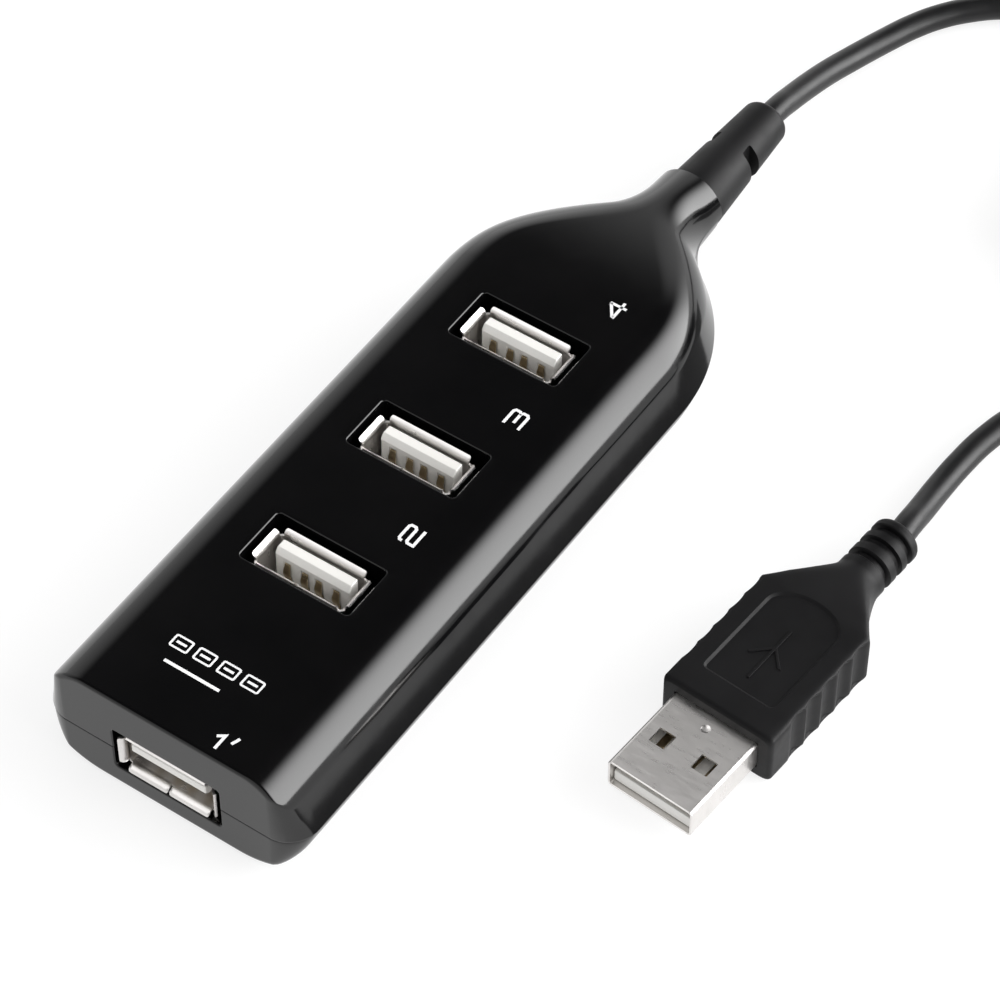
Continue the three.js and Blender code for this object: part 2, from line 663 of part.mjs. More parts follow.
function plugShell() {
  const [across, length, up] = PLUG_SHELL;
  const low = PLUG_AXIS_Z - up / 2;
  const outer = boxSolid([-across / 2, 0, low], [across / 2, length, low + up]);
  const inner = boxSolid(
    [-across / 2 + SHEET, -OVERCUT, low + SHEET],
    [across / 2 - SHEET, length + OVERCUT, low + up - SHEET],
  );
  let shell = outer.subtract(inner);
  for (const side of [-1, 1]) {
    const [width, run] = SHELL_HOLE;
    const hole = boxSolid(
      [side * SHELL_HOLE_X - width / 2, SHELL_HOLE_Y - run / 2, 0],
      [side * SHELL_HOLE_X + width / 2, SHELL_HOLE_Y + run / 2, HEIGHT],
    );
    shell = shell.subtract(hole);
  }
  return shell;
}

// The overmould's half-width and half-height at y: a block with a tapered shoulder into a round
// strain relief with three grooves.
function overmoldSize(y) {
  if (y <= OVERMOLD_SHOULDER) {
    const back = 1 - THREE.MathUtils.clamp((y - OVERMOLD_START) / OVERMOLD_NOSE, 0, 1);
    return [OVERMOLD_HALF_WIDTH - NOSE_TAPER[0] * back, PLUG_AXIS_Z - NOSE_TAPER[1] * back];
  }
  if (y < OVERMOLD_NECK) {
    const t = (y - OVERMOLD_SHOULDER) / (OVERMOLD_NECK - OVERMOLD_SHOULDER);
    const ease = 1 - (1 - t) ** 2;
    const halfHigh = mix(PLUG_AXIS_Z, PLUG_RELIEF_RADIUS, t);
    return [mix(OVERMOLD_HALF_WIDTH, PLUG_RELIEF_RADIUS, ease), halfHigh];
  }
  const inGroove = GROOVES.some((g) => Math.abs(y - g) < GROOVE_WIDTH / 2);
  const radius = inGroove ? GROOVE_RADIUS : PLUG_RELIEF_RADIUS;
  return [radius, radius];
}

function overmoldSection(y) {
  const [halfWide, halfHigh] = overmoldSize(y);
  const along = (y - OVERMOLD_SHOULDER) / (OVERMOLD_NECK - OVERMOLD_SHOULDER);
  const power = 2 / mix(OVERMOLD_SQUARENESS, 2, THREE.MathUtils.clamp(along, 0, 1));
  return steps(SECTION_SIDES).slice(0, SECTION_SIDES).map((t) => {
    const angle = (t + 0.5 / SECTION_SIDES) * 2 * Math.PI;
    const c = Math.cos(angle);
    const d = Math.sin(angle);
    return [
      halfWide * Math.sign(c) * Math.abs(c) ** power,
      PLUG_AXIS_Z + halfHigh * Math.sign(d) * Math.abs(d) ** power,
    ];
  });
}

function plugOvermold() {
  const edges = GROOVES.flatMap((g) => [-0.51, -0.49, 0.49, 0.51].map((f) => g + f * GROOVE_WIDTH));
  const stations = [
    OVERMOLD_START,
    OVERMOLD_START + OVERMOLD_NOSE,
    ...steps(6).map((t) => mix(OVERMOLD_SHOULDER, OVERMOLD_NECK, t)),
    ...edges,
    OVERMOLD_END,
  ];
  const [across, length, up] = PLUG_SHELL;
  const pocket = boxSolid(
    [-across / 2 - FIT, OVERMOLD_START - OVERCUT, PLUG_AXIS_Z - up / 2 - FIT],
    [across / 2 + FIT, length + FIT, PLUG_AXIS_Z + up / 2 + FIT],
  );
  return solidFrom(loft(stations, overmoldSection)).subtract(pocket);
}

const insulatorTop = PLUG_AXIS_Z - PLUG_SHELL[2] / 2 + SHEET + FIT + PLUG_INSULATOR_HEIGHT;
addMesh("plug_shell", geometryFrom(plugShell()), NICKEL, plug);
addMesh("plug_overmold", geometryFrom(plugOvermold()), MATT_BLACK, plug);
addMesh(
  "plug_insulator",
  box(
    [-PLUG_SHELL[0] / 2 + SHEET + FIT, PLUG_INSULATOR_START, insulatorTop - PLUG_INSULATOR_HEIGHT],
    [PLUG_SHELL[0] / 2 - SHEET - FIT, PLUG_SHELL[1] - FIT, insulatorTop],
  ),
  WHITE_PLASTIC,
  plug,
);
CONTACT_PLACES.forEach((x, i) => {
  const isInner = Math.abs(x) < CONTACT_PLACES.at(-1);
  const strip = box(
    [x - CONTACT_WIDTH / 2, PLUG_CONTACT_STARTS[Number(isInner)], insulatorTop + FIT],
    [x + CONTACT_WIDTH / 2, PLUG_CONTACT_END, insulatorTop + FIT + CONTACT_THICKNESS],
  );
  addMesh(`plug_contact_${i + 1}`, strip, GOLD, plug);
});

export default model;
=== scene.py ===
import math

import bmesh
import bpy
from mathutils import Matrix, Vector


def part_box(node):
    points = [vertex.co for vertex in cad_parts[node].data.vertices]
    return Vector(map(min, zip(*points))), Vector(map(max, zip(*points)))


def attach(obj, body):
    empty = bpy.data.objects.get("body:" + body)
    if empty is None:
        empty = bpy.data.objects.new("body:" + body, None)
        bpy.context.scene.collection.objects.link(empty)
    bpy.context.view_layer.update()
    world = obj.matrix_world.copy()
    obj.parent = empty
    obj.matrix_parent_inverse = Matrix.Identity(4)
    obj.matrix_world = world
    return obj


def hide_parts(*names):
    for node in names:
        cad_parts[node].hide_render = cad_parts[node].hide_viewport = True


# Four-port USB hub with its lead and plug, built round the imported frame. Shapes are worked out in
# millimetres, in the frame's own axes, and turned into metres where a mesh is made.
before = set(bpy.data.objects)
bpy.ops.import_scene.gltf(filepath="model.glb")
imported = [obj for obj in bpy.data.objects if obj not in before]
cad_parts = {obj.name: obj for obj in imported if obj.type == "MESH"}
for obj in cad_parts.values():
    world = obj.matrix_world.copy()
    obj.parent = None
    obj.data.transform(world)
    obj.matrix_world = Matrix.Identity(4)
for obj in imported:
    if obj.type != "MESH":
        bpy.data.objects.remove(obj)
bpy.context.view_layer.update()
MM = 0.001


def box_mm(node):
    """A node's lowest and highest corner, in millimetres."""
    low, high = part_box(node)
    return Vector(low) / MM, Vector(high) / MM


def mix(a, b, t):
    return a + (b - a) * t


def clamp(value, low=0.0, high=1.0):
    return max(low, min(high, value))


def smoothstep(value, low, high):
    t = clamp((value - low) / (high - low))
    return t * t * (3 - 2 * t)


def steps(count):
    return [i / count for i in range(count + 1)]


# ---- dimensions
# From the frame.
housing_low, housing_high = box_mm("top_cover")
relief_low, relief_high = box_mm("strain_relief")
coil_low, coil_high = box_mm("cord_coil")
FRONT_Y = housing_low.y
NECK_Y = housing_high.y
HEIGHT = housing_high.z
HALF_WIDTH = housing_high.x
RELIEF_END_Y = relief_high.y
CORD_AXIS_Z = (relief_low.z + relief_high.z) / 2

PLAY = 0.05  # between pieces that fit together

# Housing.
PARTING_Z = 7.0
WALL = 1.6
EDGE = 0.2  # rounding of the covers' meeting edges
FRONT_EDGE = 0.5  # rounding of the front face's rim
LIP_STEP = 0.4
CORNER_RADIUS = 4.2
BELLY_START_Y = 14.9
BELLY_RADIUS = 25.3
NECK_HALF_WIDTH = 4.8
NECK_FILLET = 9.4
CREASE_INSET = 1.75
CREASE_Z = 12.35
CREASE_DROP_SHARE = 0.3
CREASE_SOFTNESS = 0.3
SHOULDER_WIDTH = 5.35
SHOULDER_TURN = math.radians(55.4)
SLOPE_START_Y = 11
SLOPE_POWER = 2.0
NECK_TOP_Z = 12.1
NECK_BOTTOM_Z = 1.3
NECK_BLEND = (20, 43.5)
FRONT_ROLL = 1.0
BOTTOM_ROLL_WIDTH = 8.3
BOTTOM_RISE_START_Y = 35.5
NECK_WALL = 3.0

TOP_PORTS = (2, 3, 4)
WINDOW = (15.6, 7.8)
WINDOW_CORNER = 0.5
WINDOW_CHAMFER = 0.25
WINDOW_SKIRT = 0.8
WINDOW_SKIRT_Z = 10.2
FRONT_WINDOW = (15.2, 6.9)
FRONT_PORT_Z = 6.95
PORT_OFFSET_Y = -0.4

# Receptacles, mouth up at the origin.
MOUTH = (12.5, 5.12)
SHEET = 0.3
SHEET_CORNER = 0.55
LIP_DEPTH = 0.7
LIP_LENGTHS = (11.5, 4.6)
LIP_FLARES = (0.85, 1.05)
LIP_TURN = math.radians(62)
LIP_ROOT = 0.35
LIP_CORNER = 0.35
LIP_SEAM = 0.09
TONGUE = (10.6, 1.84)
TONGUE_CENTRE = 0.98
TONGUE_TIP = 0.5
BASE_HEIGHT = 2.6
CONTACT_PLACES = (-3.5, -1.0, 1.0, 3.5)
CONTACT_WIDTH = 1.0
CONTACT_START = 2.1  # below the lips
CONTACT_LENGTH = 5.2
CONTACT_THICKNESS = 0.2
CONTACT_BOW = 0.3
CONTACT_BOW_SHARE = 0.55  # how much of the length is bowed

# Strain relief.
SHANK_RADIUS = 2.7
RELIEF_RADII = (4.3, 3.2)
FLANGE_RADIUS = 3.4
FLANGE_ENDS = (NECK_Y - 8.4, NECK_Y - 5.6)
FLANGE_CHAMFER = 0.2
RELIEF_ROOT_EDGE = 0.35
RELIEF_TIP_EDGE = 0.9
RELIEF_BORE_DEPTH = 6.0
SLOT_Y = NECK_Y + 9.6
SLOT_WIDTH = 2.0
SLOT_HALF_HEIGHT = 3.1

# Plug: its mouth is at the place, +Y of its own frame runs towards the lead.
PLUG_PLACE = (45.55, -33.2, 0.0)
PLUG_TURN = math.radians(-4.2)
PLUG_AXIS_Z = 4.0
PLUG_SHELL = (12.0, 15.2, 4.5)
OVERMOLD_START = 12.5
OVERMOLD_NOSE = 0.7
OVERMOLD_NOSE_INSET = (0.6, 0.5)
OVERMOLD_SQUARENESS = 13  # exponent of the block's section; 2 is round
OVERMOLD_HALF_WIDTH = 7.9
OVERMOLD_SHOULDER = 31.8
OVERMOLD_NECK = 40.6
OVERMOLD_END = 49.0
PLUG_RELIEF_RADIUS = 3.15
PLUG_END_EDGE = 0.7
GROOVES = (42.4, 44.8, 47.0)
GROOVE_WIDTH = 0.8
GROOVE_RADIUS = 2.5
FLUTES = 5
FLUTE_PITCH = 3.05
FLUTE_START = 16.2
FLUTE_DEPTH = 0.6
SHELL_HOLE = 2.3
SHELL_HOLE_X = 3.0
SHELL_HOLE_Y = 6.3
DIMPLE_Y = 10.5
DIMPLE_RADIUS = 0.65
DIMPLE_LEVELS = [(-0.16, -0.32), (-0.07, -0.12), (0.01, 0.04), (1, 0.04)]
PLUG_INSULATOR_START = 0.7
PLUG_INSULATOR_HEIGHT = 1.85
PLUG_CONTACT_END = 10.0
PLUG_CONTACT_SETBACKS = (0.6, 1.6)  # outer contacts, inner contacts

# Cord.
CORD_DIAMETER = 3.4
COIL_CENTRE = ((coil_low.x + coil_high.x) / 2, (coil_low.y + coil_high.y) / 2)
COIL_RADIUS = (coil_high.x - coil_low.x) / 2 - CORD_DIAMETER
COIL_LIFT = 0.6
LEAD_OUT = [
    (0.0, 64.1, 6.5), (0.0, 66.6, 6.2), (0.0, 69.4, 5.5), (0.2, 73.6, 4.6),
    (0.6, 78.2, 3.6), (1.3, 82.5, 2.75), (2.1, 86.3, 2.15), (3.1, 89.8, 1.85),
    (4.4, 93.4, 1.73), (6.4, 97.2, 1.73), (9.2, 100.8, 1.73), (12.8, 104.0, 1.73),
    (17.4, 106.6, 1.73), (23.2, 108.3, 1.73), (30.4, 109.0, 1.73), (38.5, 108.5, 1.84),
    (47.0, 106.8, 2.1),
]
LEAD_IN = [
    (71.4, 65.4, 5.2), (67.6, 60.4, 3.2), (62.8, 55.4, 2.0), (57.8, 51.0, 1.73),
    (53.5, 46.6, 1.73), (50.6, 41.8, 1.73), (49.2, 36.8, 1.73), (48.6, 31.6, 1.73),
    (48.5, 26.4, 1.95), (48.8, 21.6, 2.8), (49.05, 18.4, 3.7), (49.16, 15.97, 4.0),
]

# Camera.
CAMERA_TARGET = (4.75, -4.05, 0.0)
CAMERA_DISTANCE = 497.7
CAMERA_AZIMUTH = math.radians(34.64)
CAMERA_ELEVATION = math.radians(50.77)
CAMERA_LENS = 146.9


def add_object(name, data):
    obj = bpy.data.objects.new(name, data)
    bpy.context.collection.objects.link(obj)
    return obj


# ---- camera
def make_camera():
    data = bpy.data.cameras.new("camera")
    data.lens = CAMERA_LENS
    data.clip_start = 0.01
    data.clip_end = 50.0
    camera = add_object("camera", data)
    level = math.cos(CAMERA_ELEVATION)
    back = Vector((
        math.sin(CAMERA_AZIMUTH) * level,
        -math.cos(CAMERA_AZIMUTH) * level,
        math.sin(CAMERA_ELEVATION),
    ))
    camera.location = (Vector(CAMERA_TARGET) + back * CAMERA_DISTANCE) * MM
    camera.rotation_euler = (-back).to_track_quat("-Z", "Y").to_euler()
    bpy.context.scene.camera = camera


# ---- materials
CLOUD_SCALE = 90.0  # drift of colour, a scale per metre
PATCH_SCALE = 420.0  # unevenness of gloss


def noise(nodes, links, coordinates, scale, detail):
    texture = nodes.new("ShaderNodeTexNoise")
    texture.inputs["Scale"].default_value = scale
    texture.inputs["Detail"].default_value = detail
    links.new(coordinates, texture.inputs["Vector"])
    return texture.outputs["Fac"]


def remap(nodes, links, value, low, high, start=0.3, end=0.7):
    node = nodes.new("ShaderNodeMapRange")
    node.inputs["From Min"].default_value = start
    node.inputs["From Max"].default_value = end
    node.inputs["To Min"].default_value = low
    node.inputs["To Max"].default_value = high
    links.new(value, node.inputs["Value"])
    return node.outputs["Result"]


def finish_material(
    name, colour, shade, roughness,
    metallic=0.0, specular=0.5, grain=(3000.0, 0.0), wave=(150.0, 0.0), stretch=(1, 1, 1),
):
    """A moulded, coated or plated surface: its colour drifts towards shade, its gloss is uneven, and
    it has a fine grain and a slow waviness, each given as (scale, height in metres)."""
    material = bpy.data.materials.new(name)
    material.use_nodes = True
    nodes, links = material.node_tree.nodes, material.node_tree.links
    shader = nodes["Principled BSDF"]
    shader.inputs["Metallic"].default_value = metallic
    shader.inputs["Specular IOR Level"].default_value = specular
    place = nodes.new("ShaderNodeTexCoord")
    mapping = nodes.new("ShaderNodeMapping")
    mapping.inputs["Scale"].default_value = stretch
    links.new(place.outputs["Object"], mapping.inputs["Vector"])
    coordinates = mapping.outputs["Vector"]

    drift = nodes.new("ShaderNodeMix")
    drift.data_type = "RGBA"
    drift.inputs[6].default_value = (*colour, 1)
    drift.inputs[7].default_value = (*shade, 1)
    cloud = noise(nodes, links, coordinates, CLOUD_SCALE, 4.0)
    links.new(remap(nodes, links, cloud, 0.0, 1.0), drift.inputs[0])
    links.new(drift.outputs[2], shader.inputs["Base Color"])

    low, high = roughness
    patches = noise(nodes, links, coordinates, PATCH_SCALE, 6.0)
    links.new(remap(nodes, links, patches, low, high), shader.inputs["Roughness"])

    normal = None
    for scale, height in (wave, grain):
        if height:
            bump = nodes.new("ShaderNodeBump")
            bump.inputs["Strength"].default_value = 1.0
            bump.inputs["Distance"].default_value = height
            links.new(noise(nodes, links, coordinates, scale, 3.0), bump.inputs["Height"])
            if normal:
                links.new(normal, bump.inputs["Normal"])
            normal = bump.outputs["Normal"]
    if normal:
        links.new(normal, shader.inputs["Normal"])
    return material


GLOSS_BLACK = finish_material(
    "gloss_black", (0.0016, 0.0016, 0.0018), (0.0028, 0.0027, 0.0029), (0.09, 0.13),
    specular=0.45, wave=(60.0, 0.000002),
)
SATIN_BLACK = finish_material(
    "satin_black", (0.0045, 0.0044, 0.0048), (0.0075, 0.0073, 0.0078), (0.44, 0.54),
    specular=0.2, grain=(9000.0, 0.00001),
)
CORD_BLACK = finish_material(
    "cord_black", (0.005, 0.0049, 0.0053), (0.008, 0.0078, 0.0083), (0.34, 0.44), specular=0.36,
    grain=(5000.0, 0.000008), wave=(300.0, 0.00002),
)
NICKEL = finish_material(
    "nickel", (0.80, 0.775, 0.76), (0.72, 0.70, 0.68), (0.26, 0.36), metallic=1.0,
    grain=(1400.0, 0.000003), stretch=(1, 6, 1),
)
WHITE_PLASTIC = finish_material(
    "white_plastic", (0.80, 0.79, 0.76), (0.74, 0.73, 0.70), (0.38, 0.48), grain=(4000.0, 0.000006),
)
GOLD = finish_material(
    "gold", (0.62, 0.50, 0.32), (0.50, 0.40, 0.26), (0.26, 0.38), metallic=1.0, grain=(3000.0, 0.000003),
)
WHITE_INK = finish_material(
    "white_ink", (0.84, 0.84, 0.84), (0.72, 0.72, 0.73), (0.45, 0.60), grain=(7000.0, 0.000004),
)
TIE_BLACK = finish_material(
    "tie_black", (0.016, 0.016, 0.017), (0.026, 0.025, 0.026), (0.48, 0.60), grain=(2500.0, 0.00002),
)
BOARD_GREEN = finish_material(
    "board_green", (0.010, 0.090, 0.035), (0.02, 0.14, 0.06), (0.30, 0.42), grain=(1500.0, 0.00002),
)
CHIP_BLACK = finish_material(
    "chip_black", (0.018, 0.018, 0.019), (0.03, 0.03, 0.031), (0.55, 0.70), grain=(6000.0, 0.00001),
)
STEEL_CAN = finish_material(
    "steel_can", (0.70, 0.70, 0.71), (0.60, 0.60, 0.61), (0.25, 0.36), metallic=1.0,
    grain=(2000.0, 0.000003),
)
SLEEVE_BLUE = finish_material(
    "sleeve_blue", (0.02, 0.05, 0.18), (0.03, 0.07, 0.22), (0.34, 0.44), specular=0.36,
    grain=(2500.0, 0.000006),
)
WIRE_PAINTS = {
    "red": ((0.45, 0.02, 0.02), (0.36, 0.02, 0.02)),
    "white": ((0.75, 0.75, 0.72), (0.66, 0.66, 0.64)),
    "green": ((0.02, 0.28, 0.07), (0.02, 0.22, 0.06)),
    "black": ((0.015, 0.015, 0.016), (0.024, 0.024, 0.025)),
}


# ---- mesh helpers
def mesh_piece(name, vertices, faces, material, place=None):
    """A mesh object from millimetre points; place is a matrix in millimetres."""
    mesh = bpy.data.meshes.new(name)
    matrix = place or Matrix.Identity(4)
    mesh.from_pydata([(matrix @ Vector(v)) * MM for v in vertices], [], faces)
    mesh.materials.append(material)
    piece = add_object(name, mesh)
    tidy_mesh(mesh)
    return piece


def tidy_mesh(mesh):
    """Closed, outward and without doubled points."""
    bm = bmesh.new()
    bm.from_mesh(mesh)
    bmesh.ops.remove_doubles(bm, verts=bm.verts, dist=0.000001)
    bmesh.ops.recalc_face_normals(bm, faces=bm.faces)
    bm.to_mesh(mesh)
    bm.free()


def smooth(piece, angle=32.0):
    mesh = piece.data
    for polygon in mesh.polygons:
        polygon.use_smooth = True
    mesh.set_sharp_from_angle(angle=math.radians(angle))
    weighted = piece.modifiers.new("weighted", "WEIGHTED_NORMAL")
    weighted.keep_sharp = True


def apply_modifiers(piece):
    depsgraph = bpy.context.evaluated_depsgraph_get()
    mesh = bpy.data.meshes.new_from_object(piece.evaluated_get(depsgraph), depsgraph=depsgraph)
    piece.modifiers.clear()
    piece.data = mesh


def bevel(piece, width, segments=3, angle=40.0):
    modifier = piece.modifiers.new("bevel", "BEVEL")
    modifier.width = width * MM
    modifier.segments = segments
    modifier.limit_method = "ANGLE"
    modifier.angle_limit = math.radians(angle)
    modifier.harden_normals = False
    apply_modifiers(piece)


def combine(piece, other, operation):
    """Joins or cuts a piece with another, which is used up."""
    modifier = piece.modifiers.new("combine", "BOOLEAN")
    modifier.operation = operation
    modifier.solver = "EXACT"
    modifier.object = other
    apply_modifiers(piece)
    bpy.data.objects.remove(other)


def cut(piece, *cutters):
    for cutter in cutters:
        combine(piece, cutter, "DIFFERENCE")


def join(piece, *others):
    for other in others:
        combine(piece, other, "UNION")


def loft(sections):
    """Points and faces of a solid through closed sections of equal length, each a list of points."""
    count = len(sections[0])
    points = [p for section in sections for p in section]
    faces = []
    for i in range(len(sections) - 1):
        for j in range(count):
            a = i * count + j
            b = i * count + (j + 1) % count
            faces.append((a, a + count, b + count, b))
    last = (len(sections) - 1) * count
    faces.append(tuple(range(count)))
    faces.append(tuple(range(last + count - 1, last - 1, -1)))
    return points, faces


def arc(centre, radius, start, end, count):
    """Points (u, v) on an arc, angles in degrees."""
    angles = [math.radians(mix(start, end, t)) for t in steps(count)]
    return [(centre[0] + radius * math.cos(a), centre[1] + radius * math.sin(a)) for a in angles]


def rounded_rectangle(half_x, half_y, radius, corner_steps=5):
    points = []
    for i, (sx, sy) in enumerate(((1, 1), (-1, 1), (-1, -1), (1, -1))):
        centre = (sx * (half_x - radius), sy * (half_y - radius))
        points += arc(centre, radius, 90 * i, 90 * i + 90, corner_steps)
    return points


def prism(name, outline, levels, material, place=None):
    """A solid along Z: levels are (z, growth), each a section of the outline grown outwards."""
    sections = []
    for z, growth in levels:
        sections.append([(*grow(outline, i, growth), z) for i in range(len(outline))])
    return mesh_piece(name, *loft(sections), material, place)


def grow(outline, i, growth):
    """Point i of a closed outline, moved outwards by growth."""
    point = Vector(outline[i])
    before = Vector(outline[i - 1])
    after = Vector(outline[(i + 1) % len(outline)])
    first = (point - before).normalized() if (point - before).length > 1e-6 else None
    second = (after - point).normalized() if (after - point).length > 1e-6 else None
    first = first or second
    second = second or first
    out = Vector((first.y + second.y, -first.x - second.x)).normalized()
    stretch = 1 / max(out.dot(Vector((first.y, -first.x))), 0.3)
    return tuple(point + out * growth * stretch)


def block(name, low, high, material, rounding=0.1, place=None, segments=2):
    """A moulded block with rounded edges."""
    corners = [(x, y, z) for z in (low[2], high[2]) for y in (low[1], high[1]) for x in (low[0], high[0])]
    faces = [(0, 2, 3, 1), (4, 5, 7, 6), (0, 1, 5, 4), (2, 6, 7, 3), (0, 4, 6, 2), (1, 3, 7, 5)]
    piece = mesh_piece(name, corners, faces, material, place)
    if rounding:
        bevel(piece, rounding, segments)
    return piece


def lathe_y(name, profile, material, axis_z, sides=96, place=None):
    """A round solid along Y from (radius, y) points, flat at its first and last."""
    around = [2 * math.pi * k / sides for k in range(sides)]
    sections = []
    for radius, y in profile:
        sections.append([(radius * math.cos(a), y, axis_z + radius * math.sin(a)) for a in around])
    return mesh_piece(name, *loft(sections), material, place)


def ring_solid(name, outer, inner, low, high, material, place):
    """A sheet sleeve between two outlines of equal count, from z = low to z = high."""
    count = len(outer)
    points = [(*p, z) for z in (low, high) for ring in (inner, outer) for p in ring]
    faces = []
    for k in range(count):
        n = (k + 1) % count
        faces.append((k, count + k, count + n, n))
        faces.append((2 * count + k, 2 * count + n, 3 * count + n, 3 * count + k))
        faces.append((k, n, 2 * count + n, 2 * count + k))
        faces.append((count + k, 3 * count + k, 3 * count + n, count + n))
    return mesh_piece(name, points, faces, material, place)


def ride(piece, slot, *nodes):
    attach(piece, "root")
    if nodes:
        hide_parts(*nodes)


# ---- cord
def keyed(keys, where):
    """The value at a place, eased between (place, value) keys."""
    for (a, low), (b, high) in zip(keys, keys[1:]):
        if where <= b:
            return mix(low, high, smoothstep(where, a, b))
    return keys[-1][1]


COIL_ENTRY = 75.0  # degrees round the coil, where the lead comes in
COIL_SWEEP = 1190.0  # three turns and a little, clockwise
COIL_STEP = 10.0


def coil_points():
    """One turn outside, one inside and one on top of both, then out over the first."""
    outer = COIL_RADIUS + CORD_DIAMETER / 2
    inner = COIL_RADIUS - CORD_DIAMETER / 2
    low = COIL_LIFT + CORD_DIAMETER / 2
    high = low + CORD_DIAMETER
    radius_keys = [
        (0, outer), (290, outer), (360, inner), (670, inner), (725, COIL_RADIUS), (1010, COIL_RADIUS),
        (1090, outer + CORD_DIAMETER / 2), (COIL_SWEEP, outer + 1.15 * CORD_DIAMETER),
    ]
    height_keys = [(0, low), (610, low), (690, high), (1130, high), (COIL_SWEEP + 40, high - 0.6)]
    points = []
    for i in range(int(COIL_SWEEP / COIL_STEP) + 1):
        sweep = i * COIL_STEP
        angle = math.radians(COIL_ENTRY - sweep)
        radius = keyed(radius_keys, sweep)
        points.append((
            COIL_CENTRE[0] + radius * math.cos(angle),
            COIL_CENTRE[1] + radius * math.sin(angle),
            keyed(height_keys, sweep),
        ))
    return points


def make_cord():
    start = (0.0, RELIEF_END_Y - 4.0, CORD_AXIS_Z)
    plug_end = plug_place() @ Vector((0.0, OVERMOLD_END - 3.0, PLUG_AXIS_Z))
    points = [start, *LEAD_OUT, *coil_points(), *LEAD_IN, tuple(plug_end)]
    curve = bpy.data.curves.new("cord", "CURVE")
    curve.dimensions = "3D"
    curve.bevel_depth = CORD_DIAMETER / 2 * MM
    curve.bevel_resolution = 8
    curve.resolution_u = 6
    curve.use_fill_caps = True
    spline = curve.splines.new("BEZIER")
    spline.bezier_points.add(len(points) - 1)
    for knot, point in zip(spline.bezier_points, points):
        knot.co = Vector(point) * MM
        knot.handle_left_type = "AUTO"
        knot.handle_right_type = "AUTO"
    curve.materials.append(CORD_BLACK)
    cord = add_object("cord", curve)
    bpy.context.view_layer.update()
    ride(cord, "cord_jacket", "cord_lead_out", "cord_coil", "cord_lead_in")
    return cord, spline.calc_length()


def plug_place():
    return Matrix.Translation(PLUG_PLACE) @ Matrix.Rotation(PLUG_TURN, 4, "Z")


TIE_GAP = 0.15
TIE_BAND = 0.45
TIE_CORNER = 1.5
TIE_HALF_WIDTH = 1.5
TIE_ANGLE = math.radians(215)


def make_tie():
    """A flat band wrapped round the turns at one place of the coil."""
    half_x = CORD_DIAMETER + TIE_GAP
    half_z = CORD_DIAMETER
    inner = rounded_rectangle(half_x, half_z, TIE_CORNER, 6)
    outer = rounded_rectangle(half_x + TIE_BAND, half_z + TIE_BAND, TIE_CORNER + TIE_BAND, 6)
    middle = Matrix.Translation((COIL_RADIUS, 0, COIL_LIFT + CORD_DIAMETER))
    place = Matrix.Translation((*COIL_CENTRE, 0)) @ Matrix.Rotation(TIE_ANGLE, 4, "Z") @ middle
    upright = place @ Matrix.Rotation(math.pi / 2, 4, "X")
    tie = ring_solid("coil_tie_band", outer, inner, -TIE_HALF_WIDTH, TIE_HALF_WIDTH, TIE_BLACK, upright)
    bevel(tie, 0.12, 2)
    smooth(tie)
    ride(tie, "tie", "coil_tie")
    return tie


# ---- housing shape
BELLY_CENTRE_X = HALF_WIDTH - BELLY_RADIUS
HOLLOW_CENTRE_X = NECK_HALF_WIDTH + NECK_FILLET
ARC_CENTRES = BELLY_RADIUS + NECK_FILLET
ARC_RUN = math.sqrt(ARC_CENTRES**2 - (HOLLOW_CENTRE_X - BELLY_CENTRE_X) ** 2)


def half_width(y, inset, setback=0.0):
    """Half-width of the outline at y, drawn in by an inset, its front face set back."""
    radius = max(CORNER_RADIUS - inset, 0.4)
    from_corner = FRONT_Y + setback + radius - y
    if from_corner > 0:
        run = min(from_corner, radius)
        return HALF_WIDTH - inset - radius + math.sqrt(radius**2 - run**2)
    if y <= BELLY_START_Y:
        return HALF_WIDTH - inset
    along = y - BELLY_START_Y
    belly = BELLY_RADIUS - inset
    if along <= ARC_RUN * belly / ARC_CENTRES:
        return BELLY_CENTRE_X + math.sqrt(belly**2 - along**2)
    left = max(ARC_RUN - along, 0)
    return HOLLOW_CENTRE_X - math.sqrt((NECK_FILLET + inset) ** 2 - left**2)


def ovalness(y):
    return smoothstep(y, *NECK_BLEND)


def top_z(y):
    t = clamp((y - SLOPE_START_Y) / (NECK_Y - SLOPE_START_Y))
    return mix(HEIGHT, NECK_TOP_Z, t**SLOPE_POWER)


def bottom_z(y):
    run = clamp((y - FRONT_Y) / FRONT_ROLL)
    roll = FRONT_ROLL * (1 - math.sqrt(1 - (1 - run) ** 2))
    t = clamp((y - BOTTOM_RISE_START_Y) / (NECK_Y - BOTTOM_RISE_START_Y))
    return roll + NECK_BOTTOM_Z * t**2


def rim(distance, radius):
    """How far a rounded edge has still to go at a distance from its start."""
    left = clamp(radius - distance, 0.0, radius)
    return radius - math.sqrt(radius**2 - left**2)


SHOULDER_STEPS = 22
FLAT_STEPS = 5
EDGE_STEPS = (0, 0.35, 0.7, 1)


